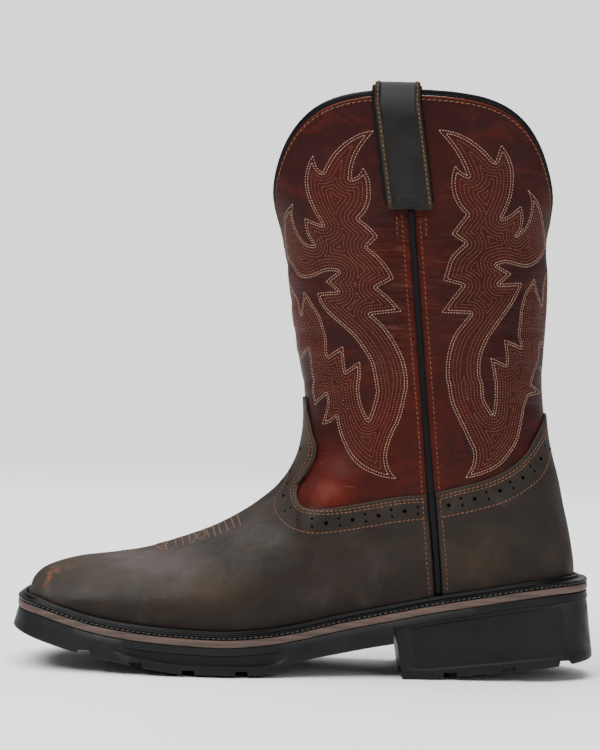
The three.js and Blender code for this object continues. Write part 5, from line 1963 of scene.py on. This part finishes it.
def strap_profile(columns):
    edge = STRAP_HALF - np.abs(columns)
    fold = ease(edge, -0.2, 0.5) * (1 - ease(edge, FOLD - 0.3, FOLD + 0.25))
    return 1.05 + 0.55 * fold + 0.25 * ease(edge, 0, 3)


def strap_end(shares):
    middle = np.exp(-((shares - 0.50) / 0.10) ** 2) * 2.6
    corner = np.maximum(np.abs(shares - 0.5) * 2 - 0.86, 0) / 0.14
    wave = 0.7 * np.sin(shares * 11.0)
    return STRAP_DROP - middle - 1.5 * corner ** 2 + wave


def strap_under_end(shares):
    return np.full(shares.shape, STRAP_DROP - 4.2)


def strap_under_profile(columns):
    edge = np.minimum(columns - columns[0], columns[-1] - columns)
    return 0.35 + 0.55 * ease(edge, 0, 1.2)


# Places of the strap's threads: heights over its seat, the rows' ends and the arc's half width,
# distance from the strap's end and rise
STRAP_SEAT, ROW_LIFT, ARC_LIFT = 0.95, 2.85, 2.30
ROW_EDGE, ROW_OUT_END, ROW_IN_END = 1.5, 2.5, 12
ARC_HALF, ARC_LOW, ARC_RISE = 6.4, 3.2, 4.6


def sew_strap(seam, stations, lift, side):
    """Along the strap: kind, value and place across of each station."""
    def at(thick):
        return np.array([
            strap_point(kind, value, np.array([across]), np.array([thick]), side)[0]
            for kind, value, across in stations
        ])

    high = at(lift)
    seam.sew(high, high - at(STRAP_SEAT))


def strap_rows(side, word):
    row = Seam(
        f"strap_rows_{word}", thread["tan"], "leather_strap",
        pitch=2.4, share=0.58, radius=0.25, seed=61, slant=0.2)
    arc = Seam(
        f"strap_arc_{word}", thread["black"], "leather_strap",
        pitch=2.2, share=0.75, radius=0.28, seed=62, slant=0.1)
    path = [(kind, value) for kind, value in strap_path()
            if not (kind == "out" and value > STRAP_DROP - ROW_OUT_END)
            and not (kind == "in" and value > ROW_IN_END)]
    for across in (-STRAP_HALF + ROW_EDGE, STRAP_HALF - ROW_EDGE):
        sew_strap(row, [(kind, value, across) for kind, value in path], ROW_LIFT, side)
    turns = np.linspace(0, np.pi, 40)
    stations = [("out", STRAP_DROP - ARC_LOW - ARC_RISE * math.sin(turn), -ARC_HALF * math.cos(turn))
                for turn in turns]
    sew_strap(arc, stations, ARC_LIFT, side)
    row.finish()
    arc.finish()


for side, word in ((LATERAL, "lateral"), (MEDIAL, "medial")):
    keep(build_cord(side, trim, f"seam_cord_{word}"), "trim_black", f"side_piping_{word}")
    under = build_strap(
        side, f"strap_backing_{word}", trim, -STRAP_WIDTH / 2 - 0.6, STRAP_WIDTH / 2 - 0.2, 0.0,
        strap_under_profile, strap_under_end)
    keep(under, "trim_black")
    band = build_strap(
        side, f"strap_band_{word}", strap_leather, -STRAP_HALF, STRAP_HALF, STRAP_SEAT,
        strap_profile, strap_end)
    keep(band, "leather_strap", f"pull_strap_{word}")
    flame_seams(side, word)
    seam_rows(side, word)
    foxing_seams(side, word)
    ridge_seams(side, word)
    strap_rows(side, word)
collar_seam()
welt_seam()


# Floor and light
FLOOR_REACH = 40000


def add_floor():
    reach = FLOOR_REACH
    corners = [(-reach, -reach, 0), (reach, -reach, 0), (reach, reach, 0), (-reach, reach, 0)]
    floor = new_object("floor", corners, [(0, 1, 2, 3)], floor_white, False)


# Area lights in metres: name, place, what they face, size, power
LIGHTS = [
    ("key", (-0.9, -1.3, 1.5), (0, 0, 0.1), (0.75, 0.75), 23),
    ("fill", (1.2, -1.2, 0.7), (0, 0, 0.12), (1.2, 1.0), 7),
    ("behind", (0.3, 1.5, 1.1), (0, 0, 0.12), (1.4, 1.0), 9),
]
SKY_STRENGTH, SKY_SPREAD, SKY_WAY = 5.0, 70, (0.25, 0.1, -1)


def add_lamp(data, place, way):
    light = bpy.data.objects.new(data.name, data)
    turn = Vector(way).to_track_quat("-Z", "Y").to_matrix().to_4x4()
    light.matrix_world = Matrix.Translation(Vector(place)) @ turn
    bpy.context.scene.collection.objects.link(light)


def add_light(name, place, target, size, power):
    data = bpy.data.lights.new(name, "AREA")
    data.shape = "RECTANGLE"
    data.size, data.size_y = size
    data.energy = power
    add_lamp(data, place, Vector(target) - Vector(place))


def add_sky():
    """Even light from above that reaches the whole floor."""
    data = bpy.data.lights.new("overhead", "SUN")
    data.energy = SKY_STRENGTH
    data.angle = math.radians(SKY_SPREAD)
    add_lamp(data, (0, 0, 0), SKY_WAY)


add_camera()
add_floor()
for light in LIGHTS:
    add_light(*light)
add_sky()

SOFT_COLOR, SOFT_STRENGTH = (0.95, 0.97, 1.0, 1), 0.36
BACKDROP_COLOR, BACKDROP_STRENGTH = (1, 1, 1, 1), 1.62


def add_world():
    """Soft light all round; the backdrop that the camera sees is paler than what lights the boot."""
    world = bpy.data.worlds.new("studio")
    world.use_nodes = True
    nodes, links = world.node_tree.nodes, world.node_tree.links
    soft = nodes["Background"]
    soft.inputs["Color"].default_value = SOFT_COLOR
    soft.inputs["Strength"].default_value = SOFT_STRENGTH
    pale = nodes.new("ShaderNodeBackground")
    pale.inputs["Color"].default_value = BACKDROP_COLOR
    pale.inputs["Strength"].default_value = BACKDROP_STRENGTH
    seen = nodes.new("ShaderNodeLightPath").outputs["Is Camera Ray"]
    either = nodes.new("ShaderNodeMixShader")
    links.new(seen, either.inputs[0])
    links.new(soft.outputs[0], either.inputs[1])
    links.new(pale.outputs[0], either.inputs[2])
    links.new(either.outputs[0], nodes["World Output"].inputs["Surface"])
    bpy.context.scene.world = world


add_world()

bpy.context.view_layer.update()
